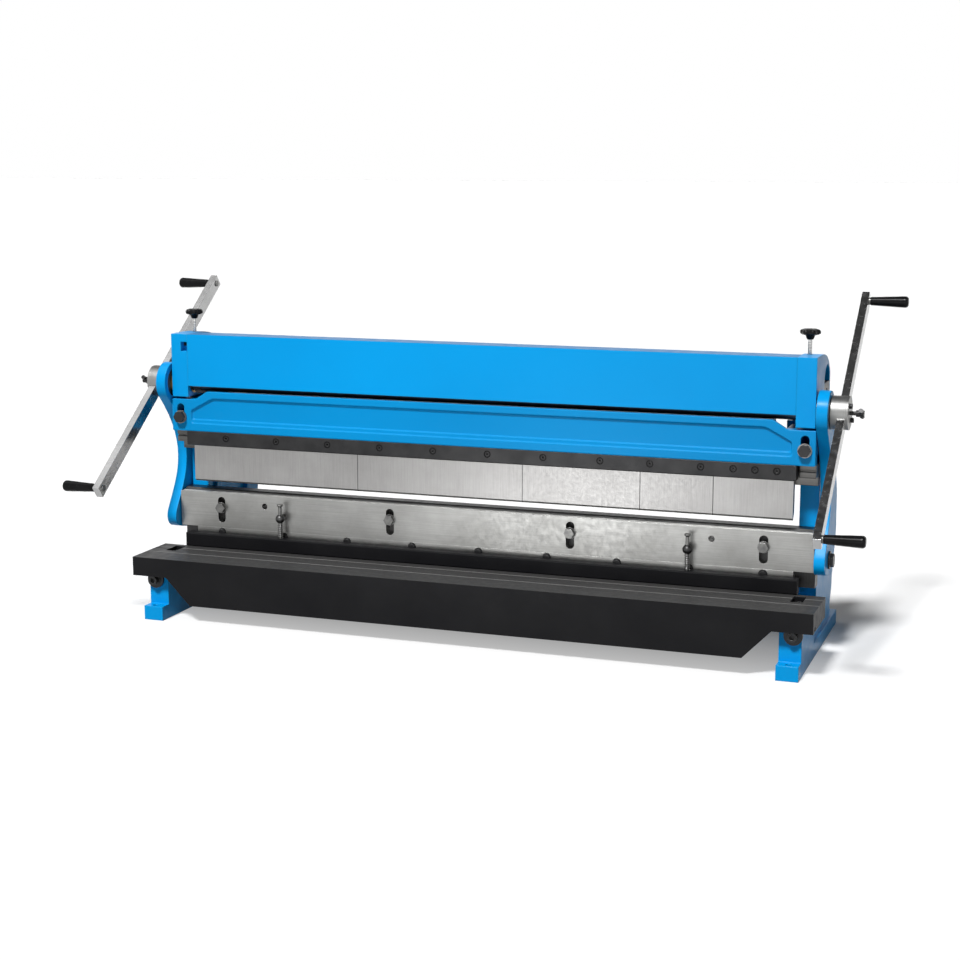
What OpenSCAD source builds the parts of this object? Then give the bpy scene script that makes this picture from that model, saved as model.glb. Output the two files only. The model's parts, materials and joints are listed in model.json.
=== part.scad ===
// Combination sheet metal machine: shear, press brake and slip rolls on one pair of side frames.
// Millimetres. X runs along the machine, Y to the back, Z up from the sole of the feet.
// Y = 0 is the front guide face of the columns, midway between the front and rear foot holes.

/* [Side frames] */
// Clear width between the side frames
frame_gap = 1320; // [1200:10:1500]
// Thickness of each side frame
frame_t = 38; // [36:1:46]
// Reach of the heads in front of the guide face
head_reach = 80; // [78:1:84]
// Height of the seat that carries the table
seat_z = 95.5; // [90:0.5:110]
// Height of the foot flange
foot_h = 30; // [24:1:36]
// Width of the foot flange
foot_w = 44; // [40:1:48]
// How far the foot stands proud of the frame
foot_proud = 6; // [4:1:10]
// Front and rear foot holes from the guide face
foot_hole_y = 207; // [204:1:212]
// Diameter of the foot holes
foot_hole_d = 13; // [11:0.5:14]
// Metal around a foot hole
foot_margin = 13; // [10:1:18]
// Depth of the cast panels in the columns
panel_depth = 9; // [4:1:12]

/* [Table] */
// Thickness of the table at the ears
table_t = 40.5; // [38:0.5:50]
// Thickness of the table top plate
table_plate_t = 30; // [26:1:34]
// Front edge of the table from the guide face
table_front = 220; // [218:1:230]
// Table ears past the outer frame faces
ear_reach = 31; // [28:1:50]
// Depth of the apron below the table top
apron_h = 98; // [80:1:110]
// Thickness of the apron
apron_t = 16; // [10:1:16]
// Distance between table ribs
rib_pitch = 120; // [100:5:150]

/* [Shear] */
// Shear plane in front of the guide face
shear_y = 53; // [52:0.5:56]
// Depth of the upper blade and of the die plate
blade_t = 22; // [20:0.5:22]
// Height of the upper blade
upper_blade_h = 36; // [34:1:44]
// Upper blade above the table at mid length
blade_rest = 4; // [3.5:0.5:8]
// Fall of the upper blade along its length
blade_rake = 5; // [2:0.5:6]
// Height of the lower blade
lower_blade_h = 35; // [30:1:36]
// Thickness of the lower blade
lower_blade_t = 15; // [12:1:18]
// Gap between the two blades
blade_gap = 0.1; // [0.05:0.05:0.3]
// Distance between blade screws
blade_screw_pitch = 150; // [120:10:200]

/* [Hold-down] */
// Height of the hold-down bar
hold_h = 30; // [24:1:34]
// Depth of the hold-down bar
hold_t = 24; // [20:1:26]
// Hold-down rods from the ends of the die plate
eye_inset = 250; // [210:5:300]
// Radius of the eye stud balls
ball_r = 10; // [9:0.5:11]
// Diameter of the hold-down rods
hold_rod_d = 7.5; // [6:0.5:8]
// Wire diameter of the springs
wire_d = 1.6; // [1.2:0.1:1.8]
// Curls in each spring
curls = 7; // [5:1:8]

/* [Press brake] */
// Height of the die plate
die_h = 78; // [76:1:90]
// Half width and depth of the V groove
vee = 6.5; // [5:0.5:7]
// Lift of the die plate in its slots
die_lift = 18; // [10:1:20]
// Open height between finger tips and die plate
throat = 23; // [22:1:40]
// Thickness of the fingers
finger_t = 16; // [14:1:18]
// Height of the fingers
finger_h = 115.6; // [105:0.2:130]
// Widths of the second to fifth finger
finger_widths = [370, 250, 150, 160];
// First screw from the left end of each finger
screw_inset = [95, 65, 55, 28, 46];
// Distance between the screws of each finger
screw_pitch = [120, 120, 120, 103, 43];
// Height of the clamp bar
clamp_h = 30.6; // [26:0.2:36]
// Travel of the brake beam on its bolts
beam_travel = 20; // [10:1:22]
// Height of the brake beam at its ends
beam_end_h = 69.4; // [68:0.2:76]
// Raised middle of the brake beam
beam_rise = 23; // [18:1:24]

/* [Drive] */
// Throw of the eccentrics
throw = 12; // [8:0.5:12]
// Drive shaft diameter
shaft_d = 36; // [30:1:36]
// Eccentric diameter
eccentric_d = 62; // [60:1:64]
// Outer diameter of the connecting rod ring
ring_d = 88; // [84:1:94]
// Thickness of the connecting rods
rod_t = 22; // [18:1:26]
// Diameter of the hubs
hub_d = 66; // [60:1:72]
// Thickness of the crank bars
bar_t = 15; // [12:1:18]
// Depth of the crank bars
bar_h = 27; // [24:1:32]
// Shaft axis to grip axis
crank_r = 326; // [250:1:330]
// Rest angle of the crank bars above level
crank_angle = 36.8; // [0:0.1:60]
// Length of the grips
grip_l = 76; // [60:1:110]

/* [Slip rolls] */
// Roll diameter
roll_d = 41.5; // [36:0.5:41.5]
// Tooth module of the three gears
gear_module = 2;
// Teeth on each gear
gear_teeth = 21;
// Rear roll behind the guide face
rear_roll_y = 47.5; // [46:0.5:50]
// Journal diameter of the rolls
journal_d = 22; // [18:1:24]
// Free length of the pressure studs
stud_free = 29; // [20:1:40]
// Diameter of the hand knobs
knob_d = 39; // [34:1:46]

/* [Hidden] */
$fn = 64;
// Radial clearance of turning fits
running = 0.05;
// Clearance of sliding faces
slide_gap = 0.3;
// Clearance on the diameter of pieces that are pushed home
seat_gap = 0.1;
// Clearance on the diameter of tapped holes
thread_gap = 0.2;
// Overlap that keeps cuts and joins clean
eps = 1;

// Lengths along X
frame_in = frame_gap / 2;
frame_out = frame_in + frame_t;
beam_half = frame_out + 2;
rod_x0 = frame_out + 4.3;
rod_x1 = rod_x0 + rod_t;
hub_x0 = rod_x1 + 0.7;
journal_l = 13;
bar_x0 = hub_x0 + journal_l + 0.5;
bar_x1 = bar_x0 + bar_t;
cap_t = 5.5;
foot_x1 = frame_out + foot_proud;
foot_x0 = foot_x1 - foot_w;
foot_hole_x = (foot_x0 + foot_x1) / 2 + 1;
bush_flange_x = rod_x0 - 0.4;
table_half = frame_out + ear_reach;
beam_bolt_x = frame_in + frame_t / 2 + 0.5;

// Heights, stacked from the sole
table_top = seat_z + table_t;
blade_z = table_top + blade_rest;
die_z = blade_z + upper_blade_h;
die_top = die_z + die_h;
tip_z = die_top + throat;
beam_z = tip_z + finger_h;
beam_end_z = beam_z + beam_end_h;
beam_top = beam_end_z + beam_rise;
head_bottom = beam_end_z + 5;
shaft_z = head_bottom + 29;
pitch_d = gear_module * gear_teeth;
roll_step = 31;
lower_roll_z = shaft_z + sqrt(pitch_d * pitch_d - roll_step * roll_step);
upper_roll_z = lower_roll_z + pitch_d;
head_top = upper_roll_z + 37.2;
foot_low_z = 66;

// Depths along Y
head_front = -head_reach;
shaft_y = head_front + 30;
roll_y = shaft_y + roll_step;
die_front = -shear_y;
die_back = die_front + blade_t;
vee_y = die_front + vee + 1.5;
finger_front = vee_y - 4;
finger_back = finger_front + finger_t;
clamp_front = head_front - 3;
hold_back = die_front - 6.5;
hold_front = hold_back - hold_t;
hold_y = die_front - 17;
post_front = -foot_hole_y + foot_margin + 2;
table_rear = die_front - blade_gap - lower_blade_t;
foot_rear = foot_hole_y + 43;
foot_front = -foot_hole_y - foot_margin;
pivot_y = die_back + 11;
pivot_z = die_z + 21;
ring_y = shaft_y - throw;

// Sizes of fasteners that several pieces share
bolt_d = 12;
bolt_head_d = 1.5 * bolt_d;
bolt_grip = 40;
bolt_pocket_w = 24;
bolt_pocket_h = bolt_d + 6;
socket_d = 11.5;
socket_h = 6;
level_washer_d = 37;
level_head_y = post_front - 6;
screw_d = 8;
screw_grip = 18;
beam_bolt_d = 16;
beam_washer_t = 3;

// Bearings, blocks and screws
shaft_end_d = 26;
tie_d = 30;
tie_end_d = 20;
tie_seat = 11.5;
guide_y = 18;
guide_w = 24;
guide_depth = 8;
bush_d = shaft_d + 8;
roll_bush_d = journal_d + 9;
pocket_depth = 26;
block_half = 22;
block_low = 17;
stud_x = frame_in + pocket_depth / 2;
stud_d = 12;
rear_slot = 63;
rear_block_h = 44;
rear_roll_z = shaft_z + 24;
rear_slot_top = rear_roll_z + rear_block_h / 2 + 4.5;
rear_slot_low = rear_roll_z - 50;
adjuster_x = frame_in - knob_d / 2 - 2.5;
boss_z = rear_roll_z - 80;
pin_d = 20;
pin_nose_d = 15;
pin_slip = 6;
die_bolt_inset = 100;
die_bolt_count = 4;
die_bolt_z = die_z + 45;
gauge_inset = 205;
gauge_z = die_z + 54;
gauge_d = 13;
eye_z = die_z + 33;
tie_y = 150;
tie_z = seat_z + 15;
table_bolt_x = frame_in + frame_t / 2 + 3;
table_bolt_y = -115;
level_x = frame_in + frame_t / 2 + 9;
level_z = seat_z - 11.5;
gear_x0 = frame_in - 24;
gear_w = 16;
roll_left = gear_x0 - 4;
roll_right = frame_in - 5;
rear_half = adjuster_x - 17;

// Plain shapes
module box(x0, x1, y0, y1, z0, z1) {
  translate([x0, y0, z0]) cube([x1 - x0, y1 - y0, z1 - z0]);
}

module rod_x(x0, x1, y, z, d) {
  translate([x0, y, z]) rotate([0, 90, 0]) cylinder(h = x1 - x0, d = d);
}

module rod_y(y0, y1, x, z, d) {
  translate([x, y0, z]) rotate([-90, 0, 0]) cylinder(h = y1 - y0, d = d);
}

module rod_z(z0, z1, x, y, d) {
  translate([x, y, z0]) cylinder(h = z1 - z0, d = d);
}

// A profile drawn in Y and Z, run along X
module along_x(x0, x1) {
  translate([x0, 0, 0]) rotate([90, 0, 90]) linear_extrude(x1 - x0) children();
}

// A profile drawn in X and Z, run along Y
module along_y(y0, y1) {
  translate([0, y1, 0]) rotate([90, 0, 0]) linear_extrude(y1 - y0) children();
}

module both() {
  children();
  mirror([1, 0, 0]) children();
}

// Upright slot with round ends
module upright_slot(x, z0, z1, w) {
  translate([x, z0 + w / 2]) circle(d = w);
  translate([x, z1 - w / 2]) circle(d = w);
  translate([x - w / 2, z0 + w / 2]) square([w, z1 - z0 - w]);
}

// Hexagon head on a washer face, pointing to the front
module hex_front(x, y, z, across, h) {
  translate([x, y, z]) rotate([90, 0, 0]) cylinder(h = h, d = across / cos(30), $fn = 6);
}

// Polygon corners rounded with short arcs
function unit(v) = v / norm(v);
function corner(a, p, b, r, n) =
  let (u = unit(a - p), v = unit(b - p), half = acos(u * v) / 2)
  let (c = p + unit(u + v) * r / sin(half))
  let (s = p + u * r / tan(half) - c, e = p + v * r / tan(half) - c)
  let (a0 = atan2(s[1], s[0]), a1 = atan2(e[1], e[0]))
  let (d = ((a1 - a0 + 540) % 360) - 180)
  [for (i = [0:n]) c + r * [cos(a0 + d * i / n), sin(a0 + d * i / n)]];
function rounded(p, r, n = 5) =
  [for (i = [0:len(p) - 1]) each corner(p[(i + len(p) - 1) % len(p)], p[i], p[(i + 1) % len(p)], r, n)];

// Smooth run between two points
function smooth(a, b, c, d, n = 10) =
  [for (i = [0:n]) let (t = i / n, s = 1 - t) s*s*s * a + 3*s*s*t * b + 3*s*t*t * c + t*t*t * d];

// Positions of repeated pieces
die_bolt_step = 2 * (beam_half - die_bolt_inset) / (die_bolt_count - 1);
die_bolts_x = [for (i = [0:die_bolt_count - 1]) i * die_bolt_step - beam_half + die_bolt_inset];
blade_half_count = floor((frame_in - 40) / blade_screw_pitch);
blade_screws_x = [for (i = [-blade_half_count:blade_half_count]) i * blade_screw_pitch];
rib_count = floor((frame_in - 80) / rib_pitch);
ribs_x = [for (i = [-rib_count:rib_count]) i * rib_pitch];
function total(list, n) = n == 0 ? 0 : list[n - 1] + total(list, n - 1);
finger_w = concat([frame_gap - total(finger_widths, len(finger_widths))], finger_widths);
finger_left = -frame_in - 5;
function finger_x(i) = finger_left + total(finger_w, i);
clamp_screws_x = [for (i = [0:len(finger_w) - 1])
  for (x = [screw_inset[i]:screw_pitch[i]:finger_w[i] - 8]) finger_x(i) + x];

// Side frames
module frame_outline() {
  column = [[240, shaft_z - 216], [243, shaft_z - 281]];
  polygon(concat(
    [[-60, 4], [-60, seat_z], [-36, seat_z]],
    smooth([-20, seat_z], [-8, seat_z], [0, seat_z + 8], [0, seat_z + 24], 5),
    [[0, head_bottom], [head_front, head_bottom], [head_front, head_top]],
    smooth([-26, head_top], [30, head_top], [72, head_top - 14], [86, head_top - 45], 6),
    smooth([86, shaft_z + 8], [88, shaft_z - 96], [225, shaft_z - 130], column[0]),
    smooth(column[1], [240, shaft_z - 340], [206, foot_low_z + 80], [206, foot_low_z + 20], 6),
    [[190, foot_low_z], [190, 4]]));
}

module column_panel() {
  polygon(rounded([[62, 165], [165, 165], [196, 250], [180, 300], [88, 430], [62, 430]], 14));
}

module side_frame(pocket) {
  color("#0b8fd6") difference() {
    union() {
      along_x(frame_in, frame_out) frame_outline();
      box(foot_x0, foot_x1, foot_front, foot_rear, 0, foot_h);
      box(frame_in, foot_x1, post_front, -40, 0, seat_z);
      box(adjuster_x - 14, frame_in + eps, rear_roll_y - 16, rear_roll_y + 16, boss_z, boss_z + 24);
    }
    along_x(frame_in - eps, frame_in + panel_depth) column_panel();
    along_x(frame_out - panel_depth, frame_out + eps) column_panel();
    box(frame_in - eps, frame_in + guide_depth, guide_y, guide_y + guide_w, table_top - 20, die_top + 40);
    rod_x(frame_in - eps, frame_out + eps, shaft_y, shaft_z, bush_d);
    rod_x(frame_in - eps, frame_in + pocket_depth, roll_y, lower_roll_z, roll_bush_d);
    box(frame_in - eps, frame_in + pocket_depth, roll_y - block_half, roll_y + block_half,
        upper_roll_z - block_low, upper_roll_z + block_low + 4);
    rod_z(upper_roll_z, head_top + eps, stud_x, roll_y, stud_d + 2 * slide_gap);
    along_x(frame_in - eps, frame_out + eps) {
      translate([rear_roll_y - rear_slot / 2, rear_slot_low])
        square([rear_slot, rear_slot_top - rear_slot_low]);
      translate([rear_roll_y, rear_slot_top]) circle(d = rear_slot);
    }
    rod_z(boss_z - eps, boss_z + 24 + eps, adjuster_x, rear_roll_y, stud_d + 2 * slide_gap);
    rod_y(-eps, bolt_grip + 2, beam_bolt_x, beam_bolt_z, beam_bolt_d + thread_gap);
    rod_z(seat_z - bolt_grip - 2, seat_z + eps, table_bolt_x, table_bolt_y, bolt_d + thread_gap);
    rod_y(post_front - eps, post_front + bolt_grip + 2, level_x, level_z, bolt_d + thread_gap);
    rod_x(frame_in - eps, frame_in + tie_seat + 0.5, tie_y, tie_z, tie_end_d + seat_gap);
    for (z = cover_screws_z)
      rod_x(frame_in - eps, frame_in + screw_grip + 2, cover_screw_y, z, screw_d + thread_gap);
    for (y = [-foot_hole_y, foot_hole_y]) rod_z(-eps, foot_h + eps, foot_hole_x, y, foot_hole_d);
    if (pocket)
      box(frame_in - eps, frame_in + 15, head_front - eps, head_front + 16, head_top - 37, head_top - 17);
  }
}

module left_side_frame() mirror([1, 0, 0]) side_frame(true);
module right_side_frame() side_frame(false);

module rear_tie_rod() color("#9a9fa4") {
  rod_x(-frame_in, frame_in, tie_y, tie_z, tie_d);
  both() rod_x(frame_in - eps, frame_in + tie_seat, tie_y, tie_z, tie_end_d);
}

// Cover between the heads
cover_t = 5;
cover_lug_x = frame_in - cover_t - 1;
cover_low = shaft_z - 5;
cover_screw_y = shaft_y - 12;
cover_screws_z = [lower_roll_z + 12, upper_roll_z + 14];

module roll_cover() color("#0b8fd6") difference() {
  union() {
    along_x(-frame_in, frame_in) polygon([
      [head_front, cover_low], [head_front + cover_t, cover_low],
      [head_front + cover_t, head_top - cover_t], [shaft_y + 20, head_top - cover_t],
      [shaft_y + 20, head_top], [head_front, head_top]]);
    both() box(cover_lug_x, frame_in, head_front + 1, cover_screw_y + 12, lower_roll_z, head_top - 1);
  }
  both() for (z = cover_screws_z)
    rod_x(cover_lug_x - eps, frame_in + eps, cover_screw_y, z, screw_d + 2 * thread_gap);
}

module cover_screws() color("#2b2b2d") both() for (z = cover_screws_z) {
  rod_x(cover_lug_x - eps, frame_in + screw_grip, cover_screw_y, z, screw_d);
  rod_x(cover_lug_x - screw_d, cover_lug_x, cover_screw_y, z, 1.6 * screw_d);
}

// Table and lower blade
module table() color("#1d1e20") difference() {
  union() {
    box(-table_half, table_half, -table_front, table_rear, table_top - table_plate_t, table_top);
    along_y(-table_front, -table_front + apron_t) polygon([
      [-table_half, seat_z], [-frame_in + 10, seat_z], [-frame_in + 66, table_top - apron_h],
      [frame_in - 66, table_top - apron_h], [frame_in - 10, seat_z], [table_half, seat_z],
      [table_half, table_top], [-table_half, table_top]]);
    box(-frame_in + 40, frame_in - 40, table_rear - apron_t, table_rear, table_top - 66, table_top - eps);
    for (x = ribs_x) box(x - 5, x + 5, -table_front + apron_t - eps, table_rear - apron_t + eps,
                         table_top - 76, table_top - table_plate_t + eps);
    both() box(frame_in - 10, table_half, post_front, -78, seat_z, table_top - table_plate_t + eps);
  }
  both() box(frame_in, table_half + eps, -78, table_rear + eps, seat_z, table_top + eps);
  box(-table_half - eps, table_half + eps, -123, -121, table_top - 0.8, table_top + eps);
  both() box(table_bolt_x - bolt_pocket_w / 2, table_bolt_x + bolt_pocket_w / 2,
             table_bolt_y - bolt_pocket_w, table_bolt_y + bolt_pocket_w,
             table_top - bolt_pocket_h, table_top + eps);
  both() rod_z(seat_z - eps, table_top, table_bolt_x, table_bolt_y, bolt_d + 0.6);
  for (x = blade_screws_x)
    rod_y(table_rear - lower_screw_grip - 1, table_rear + eps, x, lower_screw_z, screw_d + thread_gap);
}

lower_screw_z = table_top - 17;
lower_screw_grip = 23;
sink_h = 5;

module lower_blade() color("#b9bec3") difference() {
  box(-frame_in + 1, frame_in - 1, table_rear, table_rear + lower_blade_t,
      table_top - lower_blade_h, table_top);
  for (x = blade_screws_x) {
    rod_y(table_rear - eps, table_rear + lower_blade_t + eps, x, lower_screw_z, screw_d + 2 * thread_gap);
    translate([x, table_rear + lower_blade_t - sink_h, lower_screw_z]) rotate([-90, 0, 0])
      cylinder(h = sink_h + 0.01, d1 = screw_d + 2 * thread_gap, d2 = screw_d + 2 * thread_gap + 2 * sink_h);
  }
}

module lower_blade_screws() color("#2b2b2d") for (x = blade_screws_x) {
  rod_y(table_rear - lower_screw_grip, table_rear + lower_blade_t - sink_h + 0.1, x, lower_screw_z, screw_d);
  translate([x, table_rear + lower_blade_t - sink_h - 0.1, lower_screw_z]) rotate([-90, 0, 0])
    cylinder(h = sink_h - 0.1, d1 = screw_d, d2 = screw_d + 2 * sink_h - 0.4);
}

module table_bolts() color("#2b2b2d") both() difference() {
  union() {
    rod_z(seat_z - bolt_grip, table_top - bolt_pocket_h + eps, table_bolt_x, table_bolt_y, bolt_d);
    rod_z(table_top - bolt_pocket_h, table_top - bolt_pocket_h + bolt_d,
          table_bolt_x, table_bolt_y, bolt_head_d);
  }
  translate([table_bolt_x, table_bolt_y, table_top - bolt_pocket_h + bolt_d - socket_h])
    cylinder(h = socket_h + eps, d = socket_d, $fn = 6);
}

// Each levelling bolt comes with its wide washer
module table_levelling_bolts() color("#2b2b2d") both() {
  difference() {
    union() {
      rod_y(level_head_y - eps, post_front + bolt_grip, level_x, level_z, bolt_d);
      rod_y(level_head_y - bolt_d, level_head_y, level_x, level_z, bolt_head_d);
    }
    translate([level_x, level_head_y - bolt_d + socket_h, level_z]) rotate([90, 0, 0])
      cylinder(h = socket_h + eps, d = socket_d, $fn = 6);
  }
  difference() {
    rod_y(level_head_y, post_front, level_x, level_z, level_washer_d);
    rod_y(level_head_y - eps, post_front + eps, level_x, level_z, bolt_d + 0.6);
  }
}

// Brake beam, clamp bar and fingers
beam_bolt_z = beam_z + 30.4;
beam_web = 22;
beam_flange = 19.4;
beam_rear = 0;
shaft_low = shaft_z - shaft_d / 2;
slope_in = 45;

module beam_section() polygon([
  [head_front, beam_z], [beam_rear, beam_z], [beam_rear, beam_z + beam_flange],
  [head_front + beam_web, beam_z + beam_flange], [head_front + beam_web, shaft_low - 20],
  [beam_rear - 0.2, shaft_low - 20], [beam_rear - 0.2, shaft_low - 4], [head_front + 10, shaft_low - 4],
  [head_front + 10, beam_top], [head_front, beam_top]]);

module beam_outline() polygon([
  [-beam_half, beam_z - eps], [beam_half, beam_z - eps], [beam_half, beam_end_z],
  [frame_in - 5, beam_end_z], [frame_in - 5 - slope_in, beam_top], [-frame_in + 5 + slope_in, beam_top],
  [-frame_in + 5, beam_end_z], [-beam_half, beam_end_z]]);

module beam_recess() polygon(rounded([
  [-frame_in + 17, beam_z + 20], [frame_in - 17, beam_z + 20], [frame_in - 17, beam_end_z - 9],
  [frame_in - 9 - slope_in, beam_top - 11], [-frame_in + 9 + slope_in, beam_top - 11],
  [-frame_in + 17, beam_end_z - 9]], 7));

module brake_beam() color("#0b8fd6") difference() {
  union() {
    intersection() {
      along_x(-beam_half, beam_half) beam_section();
      along_y(head_front - eps, eps) beam_outline();
    }
    both() box(frame_in - 20, beam_half, head_front + 2, beam_rear, beam_z, beam_end_z);
    for (x = ribs_x) box(x - 6, x + 6, head_front + beam_web - eps, -4, beam_z + eps, shaft_low - 10);
    box(-beam_half, beam_half, finger_back, finger_back + 21, beam_z - 46, beam_z + eps);
    both() box(frame_in + 7, beam_half, head_front + 20, finger_back + eps, beam_z - 27, beam_z + eps);
  }
  along_y(head_front - eps, head_front + 5) beam_recess();
  both() along_y(head_front - eps, eps)
    upright_slot(beam_bolt_x, beam_bolt_z - beam_bolt_d / 2 - 1,
                 beam_bolt_z + beam_travel + beam_bolt_d / 2 + 1, beam_bolt_d + 1.5);
  both() box(frame_in + 6, beam_half + eps, head_front + 19, head_front + 24, beam_z - 15, beam_z - 11);
}

// Each beam bolt comes with its washer
module brake_beam_bolts() color("#33363a") both() {
  rod_y(head_front - beam_washer_t - eps, bolt_grip, beam_bolt_x, beam_bolt_z, beam_bolt_d);
  hex_front(beam_bolt_x, head_front - beam_washer_t, beam_bolt_z, beam_bolt_d + 6, 9);
  difference() {
    rod_y(head_front - beam_washer_t, head_front, beam_bolt_x, beam_bolt_z, 28.5);
    rod_y(head_front - beam_washer_t - eps, head_front + eps, beam_bolt_x, beam_bolt_z, beam_bolt_d + 0.8);
  }
}

clamp_screw_z = beam_z - 12.5;

module finger_clamp_bar() color("#26282b") difference() {
  along_x(-frame_in - 4, frame_in + 4) polygon([
    [clamp_front + 2, beam_z - clamp_h], [finger_front, beam_z - clamp_h], [finger_front, beam_z],
    [clamp_front, beam_z], [clamp_front, beam_z - clamp_h + 2]]);
  for (x = clamp_screws_x) rod_y(clamp_front - eps, finger_front + eps, x, clamp_screw_z, 10.2);
}

module clamp_set_screws() color("#4a4d51") for (x = clamp_screws_x) difference() {
  rod_y(clamp_front + 0.6, finger_front, x, clamp_screw_z, 10);
  translate([x, clamp_front + 6, clamp_screw_z]) rotate([90, 0, 0]) cylinder(h = 7, d = 5.8, $fn = 6);
}

module finger(i) color("#c3c7cb") along_x(finger_x(i), finger_x(i + 1) - 0.2) polygon([
  [finger_front, tip_z + 4], [vee_y, tip_z], [finger_back, tip_z + finger_back - vee_y],
  [finger_back, beam_z], [finger_front, beam_z]]);

module finger_1() finger(0);
module finger_2() finger(1);
module finger_3() finger(2);
module finger_4() finger(3);
module finger_5() finger(4);

// Ram, die plate and upper blade
ram_rear = -0.3;
blade_screw_z = die_z - 10;

module ram() color("#8d9297") difference() {
  along_x(-beam_half, beam_half) polygon([
    [die_back, blade_z], [ram_rear, blade_z], [ram_rear, die_top + 4], [die_back + 4, die_top + 4],
    [die_back, die_top]]);
  for (i = [0:len(ribs_x) - 2])
    box(ribs_x[i] + 8, ribs_x[i + 1] - 8, ram_rear - 14, eps, blade_z + 18, die_top - 14);
  for (x = die_bolts_x) rod_y(die_back - eps, ram_rear - 15, x, die_bolt_z, 12.2);
  both() rod_y(die_back - eps, eps, beam_half - gauge_inset, gauge_z, gauge_d);
  for (x = blade_screws_x) rod_y(die_back - eps, ram_rear - 15, x, blade_screw_z, 10.2);
  both() along_x(beam_half - 18, beam_half + eps) {
    translate([pivot_y, pivot_z]) circle(d = pin_nose_d + 2);
    translate([pivot_y + pin_slip, pivot_z]) circle(d = pin_nose_d + 2);
    translate([pivot_y, pivot_z - pin_nose_d / 2 - 1]) square([pin_slip, pin_nose_d + 2]);
  }
}

module ram_guide_shoes() color("#7c7568") both() {
  box(frame_in - guide_w, frame_in - slide_gap, ram_rear, guide_y + guide_w + 2, blade_z + 10, die_top - 6);
  box(frame_in - slide_gap - eps, frame_in + guide_depth - slide_gap,
      guide_y + slide_gap, guide_y + guide_w - slide_gap, blade_z + 10, die_top - 6);
}

module die_plate() color("#c9cdd1") difference() {
  along_x(-beam_half, beam_half) polygon([
    [die_front, die_z], [die_back, die_z], [die_back, die_top], [vee_y + vee, die_top],
    [vee_y, die_top - vee], [vee_y - vee, die_top], [die_front, die_top]]);
  for (x = die_bolts_x) along_y(die_front - eps, die_back + eps)
    upright_slot(x, die_bolt_z - die_lift - 15.5, die_bolt_z + 23.5, 18);
  both() rod_y(die_front - eps, die_back + eps, beam_half - gauge_inset, gauge_z, gauge_d);
  both() rod_y(die_front - eps, die_front + 20, beam_half - eye_inset, eye_z, 10.1);
}

module die_bolts() color("#3a3d41") for (x = die_bolts_x) {
  rod_y(die_front - 3, ram_rear - 16, x, die_bolt_z, 12);
  hex_front(x, die_front - 2.5, die_bolt_z, 19, 8);
}

module die_washers() color("#9fa4a9") for (x = die_bolts_x) difference() {
  rod_y(die_front - 2.5, die_front, x, die_bolt_z, 24);
  rod_y(die_front - 3.5, die_front + eps, x, die_bolt_z, 12.8);
}

module upper_blade() color("#b9bec3") difference() {
  along_y(die_front, die_back) polygon([
    [-frame_in, blade_z - blade_rake / 2], [frame_in, blade_z + blade_rake / 2],
    [frame_in, die_z], [-frame_in, die_z]]);
  for (x = blade_screws_x) rod_y(die_front - eps, die_back + eps, x, blade_screw_z, 10.4);
}

module upper_blade_screws() color("#2b2b2d") for (x = blade_screws_x) {
  rod_y(die_front - eps, ram_rear - 16, x, blade_screw_z, 10);
  translate([x, die_front, blade_screw_z]) rotate([90, 0, 0]) cylinder(h = 5, d1 = 19, d2 = 13);
}

// Hold-down bar, its rods, eye studs and springs
hold_z = table_top + 0.3;
hold_top = hold_z + hold_h;
eye_x = beam_half - eye_inset;
rod_top = eye_z + 32;
rod_hole_d = hold_rod_d + 0.7;
spring_r = hold_rod_d / 2 + wire_d / 2 + 0.8;
spring_bore_r = spring_r - wire_d / 2;
spring_top = eye_z - sqrt(ball_r * ball_r - spring_bore_r * spring_bore_r) - 0.1;
spring_rings = 8;
spring_sides = 6;

module eye_studs() color("#55585c") both() difference() {
  union() {
    translate([eye_x, hold_y, eye_z]) sphere(r = ball_r);
    rod_y(hold_y, die_front, eye_x, eye_z, 1.4 * ball_r);
    rod_y(die_front - eps, die_front + 19, eye_x, eye_z, 10);
  }
  rod_z(eye_z - ball_r - eps, eye_z + ball_r + eps, eye_x, hold_y, rod_hole_d);
}

module hold_down_bar() color("#1a1b1d") difference() {
  along_x(-frame_in - 13.5, frame_in + 13.5) polygon([
    [hold_front + 2, hold_z], [hold_back, hold_z], [hold_back, hold_top], [hold_front + 2, hold_top],
    [hold_front, hold_top - 2], [hold_front, hold_z + 2]]);
  both() rod_z(hold_z + 8, hold_top + eps, eye_x, hold_y, hold_rod_d + 0.1);
}

module hold_down_rods() color("#6a6d71") both() {
  rod_z(hold_z + 9, rod_top, eye_x, hold_y, hold_rod_d);
  translate([eye_x, hold_y, rod_top - 6]) cylinder(h = 2.5, d1 = hold_rod_d, d2 = 1.7 * hold_rod_d);
  rod_z(rod_top - 3.5, rod_top, eye_x, hold_y, 1.7 * hold_rod_d);
}

// One spring as a single tube whose two ends stand upright
spring_z0 = hold_top + wire_d;
spring_z1 = spring_top - wire_d;
spring_steps = curls * spring_rings;
function turn(i) = 360 * i / spring_rings;
function spring_point(i) = [spring_r * cos(turn(i)), spring_r * sin(turn(i)),
                            spring_z0 + (spring_z1 - spring_z0) * i / spring_steps];
spring_path = concat(
  [[spring_r, 0, hold_top + 0.05]],
  [for (i = [0:spring_steps]) spring_point(i)],
  [[spring_r * cos(turn(spring_steps)), spring_r * sin(turn(spring_steps)), spring_top]]);
function spring_turn(k) = turn(min(max(k - 1, 0), spring_steps));
function along(p, k) = unit(p[min(k + 1, len(p) - 1)] - p[max(k - 1, 0)]);
function ring(p, k) = let (n = [cos(spring_turn(k)), sin(spring_turn(k)), 0], b = cross(along(p, k), n))
  [for (j = [0:spring_sides - 1])
    p[k] + wire_d / 2 * (n * cos(360 * j / spring_sides) + b * sin(360 * j / spring_sides))];
spring_last = len(spring_path) - 1;
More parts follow.
